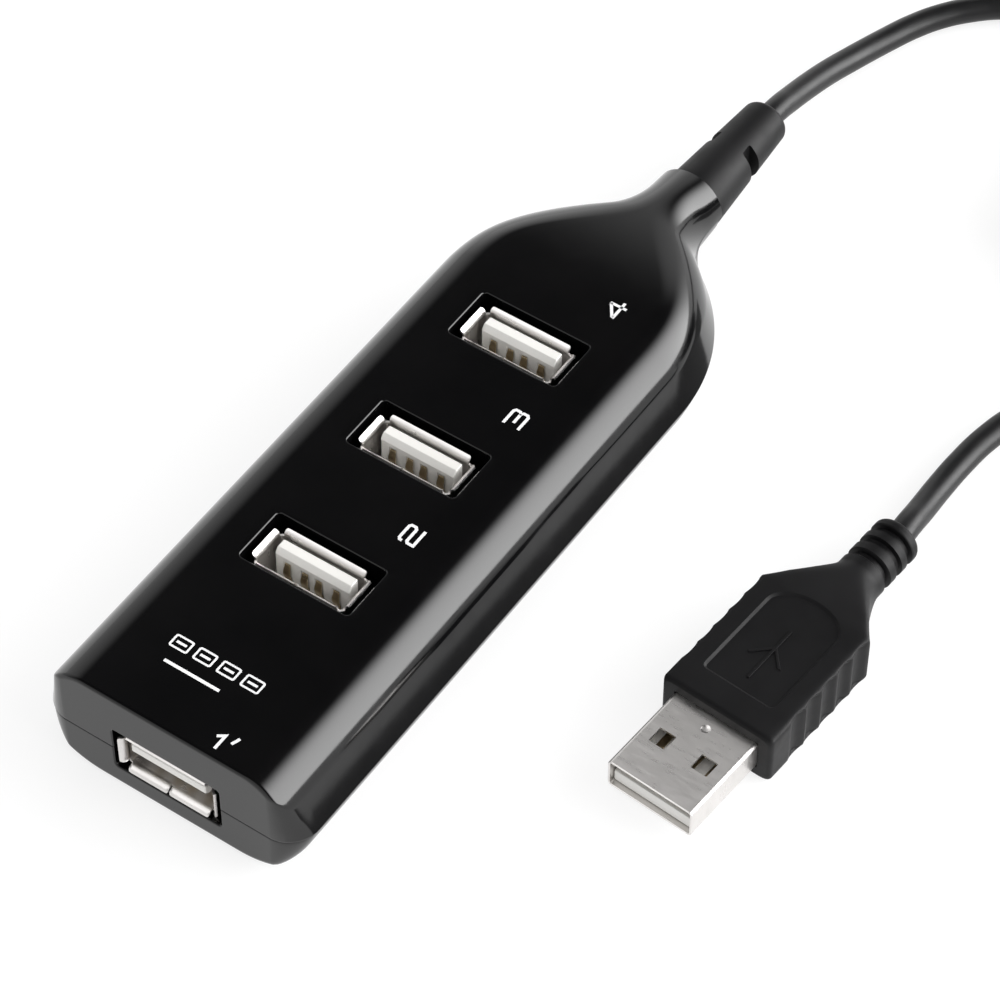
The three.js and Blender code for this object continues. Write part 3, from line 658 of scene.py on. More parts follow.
def upper_half(y, wall):
    """The right half of the top cover's section, from the parting line up to the middle."""
    oval = ovalness(y)
    inset = wall if wall else rim(y - FRONT_Y, FRONT_EDGE)
    crease_inset = inset + CREASE_INSET * (1 - oval)
    past_corner = max(y, FRONT_Y + wall + CORNER_RADIUS)
    side_crease = half_width(past_corner, crease_inset, wall)
    start = max(side_crease - SHOULDER_WIDTH, 0) * (1 - oval)
    reach = side_crease - start
    turn = mix(SHOULDER_TURN, math.pi / 2, oval)
    top = top_z(y) - inset
    drop = top - mix(CREASE_Z - inset * CREASE_DROP_SHARE, PARTING_Z, oval)
    crease = half_width(y, crease_inset, wall)
    last_turn = math.asin(min((crease - start) * math.sin(turn) / reach, 1))

    def shoulder(angle):
        x = start + reach * math.sin(angle) / math.sin(turn)
        z = top - drop * (1 - math.cos(angle)) / (1 - math.cos(turn))
        return Vector((x, max(z, PARTING_Z + 0.02)))

    foot = half_width(y, inset, wall)
    base = PARTING_Z + (0 if wall else rim(y - FRONT_Y, EDGE))
    corner = shoulder(last_turn)
    side = corner - Vector((foot, PARTING_Z))
    lean = side.x / max(side.y, 1e-6)
    rounding = min(EDGE, 0.4 * side.y) * (0 if wall else 1)
    points = []
    for t in EDGE_STEPS:
        angle = t * math.pi / 2
        z = rounding * (1 - math.cos(angle))
        points.append(Vector((foot + lean * z - rounding * (1 - math.sin(angle)), base + z)))
    softness = min(CREASE_SOFTNESS, 0.3 * side.y)
    before = corner - side.normalized() * softness
    below = points[-1].copy()
    points.extend(below.lerp(before, t) for t in (0.3, 0.65, 1.0))
    after_angle = max(last_turn - CREASE_SOFTNESS * math.sin(turn) / reach, 0.5 * last_turn)
    after = shoulder(after_angle)
    for t in (0.33, 0.67):
        points.append((1 - t) ** 2 * before + 2 * t * (1 - t) * corner + t * t * after)
    points.extend(shoulder(after_angle * (1 - t)) for t in steps(SHOULDER_STEPS))
    flat = points[-1].copy()
    points.extend(flat.lerp(Vector((0, flat.y)), t) for t in steps(FLAT_STEPS)[1:])
    return points


ROLL_STEPS = 20


def lower_half(y, wall):
    """The right half of the bottom cover's section, from the parting line down to the middle. Its
    side rolls in under the body; in the neck the roll reaches the middle."""
    inset = wall + LIP_STEP
    edge = half_width(y, inset, wall)
    oval = ovalness(y)
    bottom = bottom_z(y - wall) + wall
    top = PARTING_Z - (0 if wall else rim(y - FRONT_Y, EDGE))
    rounding = 0 if wall else EDGE
    points = []
    for t in EDGE_STEPS[:-1]:
        angle = t * math.pi / 2
        points.append(Vector((
            edge - rounding * (1 - math.sin(angle)), top - rounding * (1 - math.cos(angle)),
        )))
    first = math.asin(clamp((rounding + PARTING_Z - top) / (PARTING_Z - bottom)))
    for t in steps(ROLL_STEPS):
        angle = mix(first, math.pi / 2, t)
        roll = BOTTOM_ROLL_WIDTH * (1 - math.cos(angle))
        body = half_width(y, inset + roll, wall) if y <= BELLY_START_Y else max(edge - roll, 0.0)
        x = mix(body, edge * math.cos(angle), oval)
        points.append(Vector((x, PARTING_Z - (PARTING_Z - bottom) * math.sin(angle))))
    flat = points[-1].copy()
    points.extend(flat.lerp(Vector((0, flat.y)), t) for t in steps(FLAT_STEPS)[1:])
    return points


def housing_stations(wall, end):
    corner = [FRONT_Y + wall + CORNER_RADIUS * (1 - math.cos(t * math.pi / 2)) for t in steps(14)]
    edges = [] if wall else [FRONT_Y + d for d in (0.02, 0.06, 0.13, 0.2, 0.32, 0.5)]
    front = sorted({round(y, 4) for y in corner + edges})
    straight = [mix(front[-1], BELLY_START_Y, t) for t in steps(18)[1:-1]]
    rear = [mix(BELLY_START_Y, end, t) for t in steps(44)]
    return front + straight + rear


def full_section(half, y, anchor_z):
    """A closed section from its right half, closed along a straight edge at anchor_z."""
    right = [Vector((max(p.x, 0.01), p.y)) for p in half[:-1]]
    left = [Vector((-p.x, p.y)) for p in reversed(right)]
    loop = [*right, half[-1], *left]
    if abs(anchor_z - right[0].y) > 0.5:
        loop = [Vector((right[0].x, anchor_z)), *loop, Vector((left[-1].x, anchor_z))]
    return [(p.x, y, p.y) for p in loop]


def body(name, half_at, wall, end, anchor_z):
    sections = [full_section(half_at(y, wall), y, anchor_z) for y in housing_stations(wall, end)]
    return mesh_piece(name, *loft(sections), GLOSS_BLACK)


def port_y(number):
    """The middle of a top port's window."""
    low, high = box_mm(f"port_{number}_shell")
    return (low.y + high.y) / 2 - PORT_OFFSET_Y


def window_cutter(place, size, depth):
    """A window with a chamfered rim; its frame's origin is on the surface, +Z out."""
    outline = rounded_rectangle(size[0] / 2, size[1] / 2, WINDOW_CORNER)
    c = WINDOW_CHAMFER
    rim_levels = [(-c, 0), (-0.45 * c, 0.2 * c), (-0.12 * c, 0.6 * c), (0.03, 1.15 * c)]
    levels = [(-depth, 0), *rim_levels, (1, 1.15 * c)]
    return prism("cutter", outline, levels, GLOSS_BLACK, place)


def bore_cutter(radius, start, end, axis_z=CORD_AXIS_Z, material=GLOSS_BLACK, sides=96, place=None):
    return lathe_y("cutter", [(radius, start), (radius, end)], material, axis_z, sides, place)


def front_cutter():
    place = Matrix.Translation((0, FRONT_Y, FRONT_PORT_Z)) @ Matrix.Rotation(math.pi / 2, 4, "X")
    return window_cutter(place, FRONT_WINDOW, WALL + 2)


def cut_ends(cover):
    start, end = FLANGE_ENDS
    cut(cover, front_cutter(), bore_cutter(SHANK_RADIUS + PLAY, start - 1, NECK_Y + 1))
    cut(cover, bore_cutter(FLANGE_RADIUS + PLAY, start - PLAY, end + PLAY))


def top_cover():
    cover = body("cover_top", upper_half, 0, NECK_Y, PARTING_Z)
    cut(cover, body("cutter", upper_half, WALL, NECK_Y - NECK_WALL, PARTING_Z - 1))
    for number in TOP_PORTS:
        y = port_y(number)
        half_x, half_y = WINDOW[0] / 2, WINDOW[1] / 2
        skirt = prism(
            "skirt",
            rounded_rectangle(half_x + WINDOW_SKIRT, half_y + WINDOW_SKIRT, 1.0),
            [(WINDOW_SKIRT_Z, 0), (HEIGHT - 0.5, 0)],
            GLOSS_BLACK,
            Matrix.Translation((0, y, 0)),
        )
        join(cover, skirt)
        cut(cover, window_cutter(Matrix.Translation((0, y, HEIGHT)), WINDOW, HEIGHT - WINDOW_SKIRT_Z + 1))
    cut_ends(cover)
    smooth(cover)
    ride(cover, "housing_plastic", "top_cover")


def bottom_cover():
    cover = body("cover_bottom", lower_half, 0, NECK_Y, PARTING_Z)
    cut(cover, body("cutter", lower_half, WALL, NECK_Y - NECK_WALL, PARTING_Z + 1))
    cut_ends(cover)
    smooth(cover)
    ride(cover, "housing_plastic", "bottom_cover")


# ---- receptacles
def lip_profile(edge, flare):
    """The curled section of a flared lip, as (out, up) points of a sheet of even thickness."""
    depth = LIP_DEPTH + LIP_ROOT
    radius = (flare - SHEET * math.sin(LIP_TURN)) / (1 - math.cos(LIP_TURN))
    radius = min(radius, depth / math.sin(LIP_TURN))
    inner = []
    outer = []
    rise = depth - radius * math.sin(LIP_TURN)
    for t in steps(8):
        c, s = math.cos(LIP_TURN * t), math.sin(LIP_TURN * t)
        base = (edge + radius * (1 - c), -depth + rise + radius * s)
        inner.append(base)
        outer.append((base[0] + SHEET * c, base[1] - SHEET * s))
    top = max(v for _, v in inner)
    inner = [(edge, -depth - 0.2)] + inner
    outer = [(edge + SHEET, -depth - 0.2)] + outer
    return [(u, v - top) for u, v in inner + outer[::-1]]


def lip(name, edge, flare, start, end, place):
    """A flared lip from start to end, its corners drawn back towards the root."""
    profile = lip_profile(edge, flare)
    middle = len(profile) // 2
    sections = []
    ends = ((0, LIP_CORNER), (0.12, 0.15 * LIP_CORNER), (LIP_CORNER, 0))
    places = [(start + d, pull) for d, pull in ends] + [(end - d, pull) for d, pull in ends[::-1]]
    for x, pull in places:
        section = []
        for k, (u, v) in enumerate(profile):
            share = 1 - abs(k - middle + 0.5) / middle
            section.append((x, u - pull * share * 0.8, v - pull * share * 0.5))
        sections.append(section)
    return mesh_piece(name, *loft(sections), NICKEL, place)


def receptacle_shell(number, length, place):
    mouth = (MOUTH[0] / 2, MOUTH[1] / 2)
    inner = rounded_rectangle(mouth[0], mouth[1], SHEET_CORNER)
    outer = rounded_rectangle(mouth[0] + SHEET, mouth[1] + SHEET, SHEET_CORNER + SHEET)
    shell = ring_solid(f"port_{number}_sleeve", outer, inner, -length, -LIP_DEPTH - 0.3, NICKEL, place)
    bevel(shell, 0.06, 2)
    smooth(shell)
    ride(shell, "nickel_sheet", f"port_{number}_shell")
    for side in range(4):
        along = side % 2
        half = LIP_LENGTHS[along] / 2
        spans = [(-half, half)] if side != 2 else [(-half, -LIP_SEAM), (LIP_SEAM, half)]
        turned = place @ Matrix.Rotation(side * math.pi / 2, 4, "Z")
        for k, (start, end) in enumerate(spans):
            name = f"port_{number}_lip_{side + 1}_{k + 1}"
            piece = lip(name, mouth[1 - along], LIP_FLARES[along], start, end, turned)
            smooth(piece, 50)
            ride(piece, "nickel_sheet")


def receptacle_insulator(number, length, place):
    half_x, half_y = MOUTH[0] / 2 - PLAY, MOUTH[1] / 2 - PLAY
    base = block(
        f"port_{number}_tongue",
        (-half_x, -half_y, -length), (half_x, half_y, -length + BASE_HEIGHT), WHITE_PLASTIC, 0.3, place,
    )
    face = TONGUE_CENTRE - TONGUE[1] / 2
    back = TONGUE_CENTRE + TONGUE[1] / 2
    half = TONGUE[0] / 2
    tip = -TONGUE_TIP
    profile = [
        (face, -length + BASE_HEIGHT - 0.5), (face, tip - 0.75), (face + 0.55, tip - 0.06),
        (face + 0.68, tip), (back - 0.12, tip), (back, tip - 0.12), (back, -length + BASE_HEIGHT - 0.5),
    ]
    sections = []
    for x, pull in ((-half, 0.12), (-half + 0.12, 0), (half - 0.12, 0), (half, 0.12)):
        sections.append([
            (x, mix(v, TONGUE_CENTRE, pull * 0.9), min(z, tip - pull) if z > tip - 1 else z)
            for v, z in profile
        ])
    tongue = mesh_piece("tongue", *loft(sections), WHITE_PLASTIC, place)
    for x in CONTACT_PLACES:
        groove = block(
            "groove",
            (x - CONTACT_WIDTH / 2 - 0.1, face - 1, -CONTACT_START - CONTACT_LENGTH),
            (x + CONTACT_WIDTH / 2 + 0.1, face + 0.16, -CONTACT_START + 0.25),
            WHITE_PLASTIC, 0, place,
        )
        cut(tongue, groove)
    join(base, tongue)
    smooth(base, 30)
    ride(base, "connector_white", f"port_{number}_insulator")


def receptacle_contacts(number, place):
    """Four sprung strips, bowed out of the tongue's grooves."""
    face = TONGUE_CENTRE - TONGUE[1] / 2
    for i, x in enumerate(CONTACT_PLACES):
        sections = []
        for t in steps(16):
            bow = CONTACT_BOW * math.sin(math.pi * clamp(t / CONTACT_BOW_SHARE)) ** 2
            z = -CONTACT_START - CONTACT_LENGTH * t
            low = face + 0.10 - bow
            high = low - CONTACT_THICKNESS
            half = CONTACT_WIDTH / 2 * mix(0.72, 1.0, smoothstep(t, 0.0, 0.25))
            left, right = x - half, x + half
            sections.append([(left, low, z), (right, low, z), (right, high, z), (left, high, z)])
        strip = mesh_piece(f"port_{number}_spring_{i + 1}", *loft(sections), GOLD, place)
        bevel(strip, 0.04, 1, 60)
        smooth(strip, 40)
        ride(strip, "contact_gold", f"port_{number}_contact_{i + 1}")


def receptacle(number, place, length):
    receptacle_shell(number, length, place)
    receptacle_insulator(number, length, place)
    receptacle_contacts(number, place)


def make_receptacles():
    low, high = box_mm("port_1_shell")
    place = Matrix.Translation((0, low.y, (low.z + high.z) / 2)) @ Matrix.Rotation(math.pi / 2, 4, "X")
    receptacle(1, place, high.y - low.y)
    for number in TOP_PORTS:
        low, high = box_mm(f"port_{number}_shell")
        receptacle(number, Matrix.Translation((0, (low.y + high.y) / 2, high.z)), high.z - low.z)


# ---- strain relief
def make_strain_relief():
    start, end = FLANGE_ENDS
    c = FLANGE_CHAMFER
    root, tip = RELIEF_RADII
    bore = CORD_DIAMETER / 2 + PLAY
    foot = NECK_Y + PLAY + RELIEF_ROOT_EDGE
    last = RELIEF_END_Y - RELIEF_TIP_EDGE
    inside = RELIEF_END_Y - RELIEF_BORE_DEPTH
    profile = [
        (FLANGE_RADIUS - c, start), (FLANGE_RADIUS, start + c), (FLANGE_RADIUS, end - c),
        (FLANGE_RADIUS - c, end), (SHANK_RADIUS, end), (SHANK_RADIUS, NECK_Y + PLAY),
        *arc((root - RELIEF_ROOT_EDGE, foot), RELIEF_ROOT_EDGE, -90, 0, 5),
        *[(mix(root, tip, t), mix(foot, last, t)) for t in steps(10)][1:],
        *arc((tip - RELIEF_TIP_EDGE, last), RELIEF_TIP_EDGE, 0, 90, 7)[1:],
        (bore, RELIEF_END_Y), (bore, inside),
    ]
    relief = lathe_y("relief", profile, SATIN_BLACK, CORD_AXIS_Z, 120)
    for side in (-1, 1):
        near = side * (CORD_DIAMETER / 2 + 0.25)
        far = side * 6
        slot = block(
            "slot",
            (min(near, far), SLOT_Y - SLOT_WIDTH / 2, CORD_AXIS_Z - SLOT_HALF_HEIGHT),
            (max(near, far), SLOT_Y + SLOT_WIDTH / 2, CORD_AXIS_Z + SLOT_HALF_HEIGHT),
            SATIN_BLACK, 0.3,
        )
        cut(relief, slot)
    smooth(relief, 38)
    ride(relief, "overmold_vinyl", "strain_relief")


# ---- plug
def overmold_size(y):
    """Half-width and half-height of the overmould at y."""
    if y <= OVERMOLD_SHOULDER:
        front = clamp((y - OVERMOLD_START) / OVERMOLD_NOSE)
        ease = math.sqrt(1 - (1 - front) ** 2)
        inset_x, inset_z = OVERMOLD_NOSE_INSET
        return OVERMOLD_HALF_WIDTH - inset_x * (1 - ease), PLUG_AXIS_Z - inset_z * (1 - ease)
    if y < OVERMOLD_NECK:
        t = (y - OVERMOLD_SHOULDER) / (OVERMOLD_NECK - OVERMOLD_SHOULDER)
        return (
            mix(OVERMOLD_HALF_WIDTH, PLUG_RELIEF_RADIUS, 1 - (1 - t) ** 1.55),
            mix(PLUG_AXIS_Z, PLUG_RELIEF_RADIUS, t**1.5),
        )
    radius = PLUG_RELIEF_RADIUS
    for groove in GROOVES:
        away = abs(y - groove) - GROOVE_WIDTH / 2
        radius = min(radius, GROOVE_RADIUS + (PLUG_RELIEF_RADIUS - GROOVE_RADIUS) * clamp(away / 0.15))
    edge = PLUG_END_EDGE
    end = OVERMOLD_END - y
    if end < edge:
        radius = min(radius, PLUG_RELIEF_RADIUS - edge + math.sqrt(max(edge**2 - (edge - end) ** 2, 0)))
    return radius, radius


def flute(y):
    """Depth of the grip's flutes at y."""
    t = (y - FLUTE_START) / FLUTE_PITCH
    if t < 0 or t > FLUTES:
        return 0.0
    return FLUTE_DEPTH * (0.5 - 0.5 * math.cos(2 * math.pi * t)) ** 0.7


OVERMOLD_SIDES = 128


def overmold_section(y):
    half_wide, half_high = overmold_size(y)
    roundness = smoothstep(y, mix(OVERMOLD_SHOULDER, OVERMOLD_NECK, 0.3), OVERMOLD_NECK)
    power = 2 / mix(OVERMOLD_SQUARENESS, 2, roundness ** 0.4)
    section = []
    for k in range(OVERMOLD_SIDES):
        angle = 2 * math.pi * (k + 0.5) / OVERMOLD_SIDES
        c, s = math.cos(angle), math.sin(angle)
        across = math.copysign(abs(c) ** power, c)
        up = math.copysign(abs(s) ** power, s)
        cut_in = flute(y) * (1 - smoothstep(abs(up), 0.80, 0.97)) * smoothstep(abs(across), 0.5, 0.95)
        x = half_wide * across - math.copysign(cut_in, c)
        section.append((x, y, PLUG_AXIS_Z + half_high * up))
    return section


def overmold_stations():
    nose = [OVERMOLD_START + OVERMOLD_NOSE * (1 - math.cos(t * math.pi / 2)) for t in steps(8)]
    grip = [mix(nose[-1], OVERMOLD_SHOULDER, t) for t in steps(80)][1:]
    shoulder = [mix(OVERMOLD_SHOULDER, OVERMOLD_NECK, t) for t in steps(20)][1:]
    last = OVERMOLD_END - PLUG_END_EDGE
    relief = [mix(OVERMOLD_NECK, last, t) for t in steps(60)][1:]
    end = [last + PLUG_END_EDGE * math.sin(t * math.pi / 2) for t in steps(6)][1:]
    return nose + grip + shoulder + relief + end


PANEL_START = 16.5
PANEL_HALF_WIDTH = 5.0
PANEL_ARCH_Y = 29.0
PANEL_ARCH_RISE = 3.2
PANEL_DEPTH = 0.25
PANEL_CHAMFER = 0.18


def panel_outline():
    """Recessed panel on the plug: square in front, arched towards the lead."""
    corner = 0.6
    front = arc((PANEL_HALF_WIDTH - corner, PANEL_START + corner), corner, -90, 0, 4)
    arch = [
        (PANEL_HALF_WIDTH * math.cos(t * math.pi), PANEL_ARCH_Y + PANEL_ARCH_RISE * math.sin(t * math.pi))
        for t in steps(24)
    ]
    left = [(-x, y) for x, y in reversed(front)]
    return [*front, *arch, *left]


def make_overmold(place):
    sections = [overmold_section(y) for y in overmold_stations()]
    piece = mesh_piece("plug_body", *loft(sections), SATIN_BLACK, place)
    across, length, up = PLUG_SHELL
    pocket = block(
        "pocket",
        (-across / 2 - PLAY, OVERMOLD_START - 2, PLUG_AXIS_Z - up / 2 - PLAY),
        (across / 2 + PLAY, length + PLAY, PLUG_AXIS_Z + up / 2 + PLAY),
        SATIN_BLACK, 0, place,
    )
    top = 2 * PLUG_AXIS_Z
    c = PANEL_CHAMFER
    levels = [(top - PANEL_DEPTH, -c), (top + 0.02, c), (top + 1, c)]
    panel = prism("panel", panel_outline(), levels, SATIN_BLACK, place)
    bore = bore_cutter(
        CORD_DIAMETER / 2 + PLAY, OVERMOLD_END - 5, OVERMOLD_END + 1, PLUG_AXIS_Z, SATIN_BLACK, 64, place,
    )
    cut(piece, pocket, panel, bore)
    smooth(piece, 35)
    ride(piece, "overmold_vinyl", "plug_overmold")
    return piece


def make_plug_shell(place):
    across, length, up = PLUG_SHELL
    outer = rounded_rectangle(across / 2, up / 2, 0.55, 6)
    inner = rounded_rectangle(across / 2 - SHEET, up / 2 - SHEET, 0.3, 6)
    upright = place @ Matrix.Translation((0, 0, PLUG_AXIS_Z)) @ Matrix.Rotation(math.pi / 2, 4, "X")
    shell = ring_solid("plug_sleeve", outer, inner, -length, 0, NICKEL, upright)
    bevel(shell, 0.1, 3)
    half = SHELL_HOLE / 2
    for side in (-1, 1):
        hole = prism(
            "hole",
            rounded_rectangle(half, half, 0.15, 3),
            [(-1, 0), (2 * PLUG_AXIS_Z, 0)],
            NICKEL,
            place @ Matrix.Translation((side * SHELL_HOLE_X, SHELL_HOLE_Y, 0)),
        )
        cut(shell, hole)
    top = PLUG_AXIS_Z + up / 2
    round_outline = arc((0, 0), DIMPLE_RADIUS, 0, 345, 23)
    levels = [(top + rise, growth) for rise, growth in DIMPLE_LEVELS]
    dimple = prism("dimple", round_outline, levels, NICKEL, place @ Matrix.Translation((0, DIMPLE_Y, 0)))
    cut(shell, dimple)
    smooth(shell, 30)
    ride(shell, "nickel_sheet", "plug_shell")
    return shell


def make_plug_inside(place):
    across, length, up = PLUG_SHELL
    low = PLUG_AXIS_Z - up / 2 + SHEET + PLAY
    top = low + PLUG_INSULATOR_HEIGHT
    insulator = block(
        "plug_tongue",
        (-across / 2 + SHEET + PLAY, PLUG_INSULATOR_START, low),
        (across / 2 - SHEET - PLAY, length - PLAY, top),
        WHITE_PLASTIC, 0.25, place,
    )
    made = [insulator]
    for i, x in enumerate(CONTACT_PLACES):
        start = PLUG_INSULATOR_START + PLUG_CONTACT_SETBACKS[abs(x) < 2]
        strip = block(
            f"plug_strip_{i + 1}",
            (x - CONTACT_WIDTH / 2, start, top + 0.02),
            (x + CONTACT_WIDTH / 2, PLUG_CONTACT_END, top + 0.02 + CONTACT_THICKNESS),
            GOLD, 0.07, place,
        )
        smooth(strip)
        ride(strip, "contact_gold", f"plug_contact_{i + 1}")
        made.append(strip)
    smooth(insulator)
    ride(insulator, "connector_white", "plug_insulator")
    return made


# ---- marks
MARK_THICKNESS = 0.02
MARK_LIFT = 0.002
DIGIT_SIZE = (1.25, 1.05)  # half-width and half-height
DIGIT_STROKE = 0.38
# Each digit's strokes, on a cell from -1 to 1.
DIGITS = {
    "1": [[(-0.55, 0.45), (0.12, 1), (0.12, -1)]],
    "2": [[
        (-1, 0.5), (-1, 0.8), (-0.78, 1), (0.78, 1), (1, 0.8), (1, 0.25), (0.78, 0), (-0.78, 0),
        (-1, -0.22), (-1, -1), (1.05, -1),
    ]],
    "3": [
        [(-1, 1), (0.78, 1), (1, 0.78), (1, 0.25), (0.8, 0), (1, -0.25), (1, -0.78), (0.78, -1), (-1, -1)],
        [(-0.5, 0), (0.8, 0)],
    ],
    "4": [[(0.5, -1.1), (0.5, 1.1)], [(0.5, 1.0), (-1.05, -0.3)], [(-1.15, -0.42), (1.15, -0.42)]],
}
DIGIT_PLACES = {"2": (7.0, -25.3), "3": (7.0, -3.9), "4": (7.0, 17.4)}
FRONT_DIGIT = (6.4, -61.5)
TICK = [(7.75, -61.0), (8.15, -59.9)]  # beside the front digit
TICK_STROKE = 0.38
SYMBOL_Y = -53.0  # four socket symbols in a row
SYMBOL_PITCH = 3.35
SYMBOL_SIZE = (1.3, 0.95)
SYMBOL_SHIFT = -0.3
SYMBOL_LINE = 0.26
RULE = [(-5.6, -55.9), (2.2, -55.9)]  # a plain line under them
RULE_STROKE = 0.42


def stroke(path, width):
    """A closed outline round an open path, mitred at its bends."""
    points = [Vector(p) for p in path]
    runs = [(b - a).normalized() for a, b in zip(points, points[1:])]
    left = []
    right = []
    for i, point in enumerate(points):
        first, second = runs[max(i - 1, 0)], runs[min(i, len(runs) - 1)]
        side = Vector((-first.y - second.y, first.x + second.x)).normalized()
        reach = width / 2 / side.dot(Vector((-first.y, first.x)))
        left.append(tuple(point + side * reach))
        right.append(tuple(point - side * reach))
    return right + left[::-1]


def printed(name, outline, place, material, thickness=MARK_THICKNESS):
    """A thin layer of an outline's shape, on the surface at its place."""
    return prism(name, outline, [(0, 0), (thickness, 0)], material, place)


def digit(text, place):
    half_x, half_y = DIGIT_SIZE
    pieces = []
    for path in DIGITS[text]:
        outline = stroke([(u * half_x, v * half_y) for u, v in path], DIGIT_STROKE)
        pieces.append(printed(f"digit_{text}", outline, place, WHITE_INK))
    return pieces


def socket_symbol(x, place):
    """A small outline of a socket with its tongue."""
    half_x, half_y = SYMBOL_SIZE
    at = place @ Matrix.Translation((x, 0, 0))
    outer = rounded_rectangle(half_x, half_y, 0.3, 3)
    inner = rounded_rectangle(half_x - SYMBOL_LINE, half_y - SYMBOL_LINE, 0.1, 3)
    frame_line = ring_solid("symbol", outer, inner, 0, MARK_THICKNESS, WHITE_INK, at)
    tongue = printed("symbol_tongue", rounded_rectangle(half_x - 0.6, 0.17, 0.05, 2), at, WHITE_INK)
    return [frame_line, tongue]


def gather(name, pieces):
    """One piece from several that don't need cutting or joining."""
    bm = bmesh.new()
    for piece in pieces:
        bm.from_mesh(piece.data)
    mesh = bpy.data.meshes.new(name)
    bm.to_mesh(mesh)
    bm.free()
    mesh.materials.append(pieces[0].data.materials[0])
    for piece in pieces:
        bpy.data.objects.remove(piece)
    return add_object(name, mesh)


def make_marks():
    surface = HEIGHT + MARK_LIFT
    quarter = Matrix.Rotation(math.pi / 2, 4, "Z")
    pieces = []
    for text, (x, y) in DIGIT_PLACES.items():
        pieces += digit(text, Matrix.Translation((x, y, surface)) @ quarter)
    pieces += digit("1", Matrix.Translation((*FRONT_DIGIT, surface)))
    flat = Matrix.Translation((0, 0, surface))
    pieces.append(printed("tick", stroke(TICK, TICK_STROKE), flat, WHITE_INK))
    pieces.append(printed("rule", stroke(RULE, RULE_STROKE), flat, WHITE_INK))
    row = Matrix.Translation((0, SYMBOL_Y, surface))
    for k in range(4):
        pieces += socket_symbol((k - 1.5) * SYMBOL_PITCH + SYMBOL_SHIFT, row)
    marks = gather("printed_marks", pieces)
    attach(marks, "root")


PLUG_MARK_BAR = [(0, 18.5), (0, 27.0)]
PLUG_MARK_CHEVRON = [(-2.2, 21.6), (0, 23.9), (2.2, 21.6)]
PLUG_MARK_STROKE = 0.34


def make_plug_mark(place):
    """A raised line and chevron in the plug's panel, which point to the lead."""
    floor = place @ Matrix.Translation((0, 0, 2 * PLUG_AXIS_Z - PANEL_DEPTH - 0.02))
    bar = printed("bar", stroke(PLUG_MARK_BAR, PLUG_MARK_STROKE), floor, SATIN_BLACK, 0.17)
    chevron = printed("chevron", stroke(PLUG_MARK_CHEVRON, PLUG_MARK_STROKE), floor, SATIN_BLACK, 0.16)
    mark = gather("plug_mark", [bar, chevron])
    bevel(mark, 0.05, 2)
    ride(mark, "overmold_vinyl")
    return mark


# ---- frame nodes that stay
def dress_nodes():
    paints = {
        "circuit_board": BOARD_GREEN,
        "hub_controller": CHIP_BLACK,
        "resistor_array": CHIP_BLACK,
        "crystal": STEEL_CAN,
        "input_capacitor": SLEEVE_BLUE,
    }
    for colour, (tone, shade) in WIRE_PAINTS.items():
        paints[f"wire_{colour}"] = finish_material(f"wire_paint_{colour}", tone, shade, (0.35, 0.45))
    for node, material in paints.items():
        obj = bpy.data.objects[node]
        obj.data.materials.clear()
        obj.data.materials.append(material)


# ---- stage
FLOOR_ALBEDO = 0.25
FLOOR_GLOW = 0.78
FLOOR_REACH = 6000.0
FLOOR_Z = -0.02
FLAG_LOW = (21.0, -58.0)  # the dark card beside the hub, over the floor
FLAG_HIGH = (35.0, 75.0)
FLAG_GLOW = 0.16
FLAG_Z = 0.05


def stage_sheet(name, low, high, z, albedo, glow):
    """A flat part of the stage with a soft glow of its own."""
    material = bpy.data.materials.new(f"{name}_paint")
    material.use_nodes = True
    shader = material.node_tree.nodes["Principled BSDF"]
    shader.inputs["Base Color"].default_value = (albedo, albedo, albedo, 1)
    shader.inputs["Roughness"].default_value = 0.9
    shader.inputs["Specular IOR Level"].default_value = 0.0
    shader.inputs["Emission Color"].default_value = (1, 1, 1, 1)
    shader.inputs["Emission Strength"].default_value = glow
    mesh = bpy.data.meshes.new(name)
    corners = [(low[0], low[1], z), (high[0], low[1], z), (high[0], high[1], z), (low[0], high[1], z)]
    mesh.from_pydata([Vector(c) * MM for c in corners], [], [(0, 1, 2, 3)])
    mesh.materials.append(material)
    sheet = add_object(name, mesh)
    return sheet


def make_stage():
    reach = FLOOR_REACH
    stage_sheet("floor", (-reach, -reach), (reach, reach), FLOOR_Z, FLOOR_ALBEDO, FLOOR_GLOW)
    flag = stage_sheet("flag", FLAG_LOW, FLAG_HIGH, FLAG_Z, 0.0, FLAG_GLOW)
    flag.visible_camera = False
    flag.visible_diffuse = False
    flag.visible_shadow = False


# Soft parts of the surroundings: direction, cosine where each starts and is full, and strength.
SURROUNDINGS = [
    ((0.85, 0.52, 0.0), 0.48, 0.995, 8.4),  # a wide box low at the right, behind
    ((-0.36, 0.93, 0.10), 0.80, 0.97, 0.85),  # the far wall past the neck
    ((0.0, -1.0, 0.05), 0.45, 0.95, 0.9),  # the wall on the near side
    ((-1.0, 0.2, 0.05), 0.45, 0.95, 0.8),  # the wall at the left
]
DIM_SKY = 0.04

SUN_ENERGY = 1.3
SUN_ANGLE = math.radians(80)
SUN_TILT = math.radians(4)
# Soft boxes for the plated metal alone: direction, distance in metres, target in millimetres, size in
# metres and radiance.
METAL_BOXES = {
    "metal_box": ((-0.36, 0.52, 0.775), 0.30, PLUG_PLACE, 0.34, 0.30),
    "lip_box": ((-0.36, -0.35, 0.855), 0.40, (0, 0, HEIGHT), 0.42, 1.3),
}


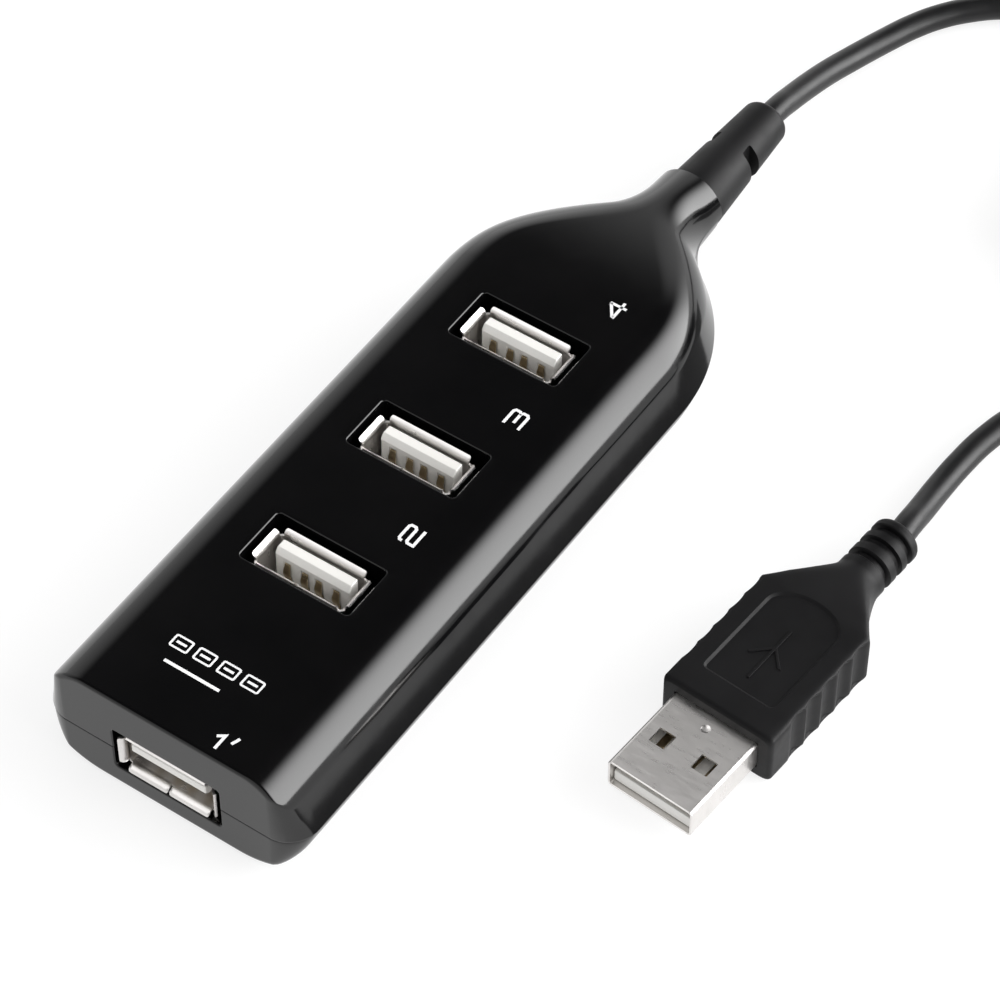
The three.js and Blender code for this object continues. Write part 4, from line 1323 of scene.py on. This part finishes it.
def make_world():
    world = bpy.data.worlds.new("studio")
    world.use_nodes = True
    nodes, links = world.node_tree.nodes, world.node_tree.links
    direction = nodes.new("ShaderNodeTexCoord").outputs["Generated"]
    total = None
    for aim, start, full, strength in SURROUNDINGS:
        dot = nodes.new("ShaderNodeVectorMath")
        dot.operation = "DOT_PRODUCT"
        dot.inputs[1].default_value = Vector(aim).normalized()
        links.new(direction, dot.inputs[0])
        ramp = nodes.new("ShaderNodeMapRange")
        ramp.interpolation_type = "SMOOTHERSTEP"
        ramp.inputs["From Min"].default_value = start
        ramp.inputs["From Max"].default_value = full
        ramp.inputs["To Max"].default_value = strength
        links.new(dot.outputs["Value"], ramp.inputs["Value"])
        add = nodes.new("ShaderNodeMath")
        add.operation = "ADD"
        add.inputs[1].default_value = DIM_SKY
        if total:
            links.new(total, add.inputs[1])
        links.new(ramp.outputs["Result"], add.inputs[0])
        total = add.outputs["Value"]
    background = nodes["Background"]
    background.inputs["Color"].default_value = (1, 1, 1, 1)
    links.new(total, background.inputs["Strength"])
    bpy.context.scene.world = world


def area_light(name, direction, distance, target, size, radiance):
    """A soft box of even radiance, its middle seen from the target in a direction."""
    data = bpy.data.lights.new(name, "AREA")
    data.shape = "SQUARE"
    data.size = size
    data.energy = radiance * math.pi * size**2
    light = add_object(name, data)
    aim = Vector(direction).normalized()
    light.location = Vector(target) * MM + aim * distance
    light.rotation_euler = (-aim).to_track_quat("-Z", "Y").to_euler()
    return light


def light_only(light, pieces):
    """Restricts a light to some pieces."""
    receivers = bpy.data.collections.new(f"{light.name}_receivers")
    for piece in pieces:
        receivers.objects.link(piece)
    light.light_linking.receiver_collection = receivers


def make_lights():
    make_world()
    data = bpy.data.lights.new("overhead", "SUN")
    data.energy = SUN_ENERGY
    data.angle = SUN_ANGLE
    sun = add_object("overhead", data)
    sun.rotation_euler = (-SUN_TILT, SUN_TILT, 0)
    sun.visible_glossy = False
    metal = [o for o in bpy.data.objects if o.type == "MESH" and NICKEL.name in o.data.materials]
    for name, box in METAL_BOXES.items():
        light_only(area_light(name, *box), metal)
    bpy.context.scene.view_settings.view_transform = "Standard"


# ---- making
make_camera()
cord, cord_length = make_cord()
tie = make_tie()
place_of_plug = plug_place()
overmold = make_overmold(place_of_plug)
plug_shell = make_plug_shell(place_of_plug)
plug_inside = make_plug_inside(place_of_plug)
plug_mark = make_plug_mark(place_of_plug)
top_cover()
bottom_cover()
make_receptacles()
make_strain_relief()
make_marks()
dress_nodes()
make_stage()
make_lights()
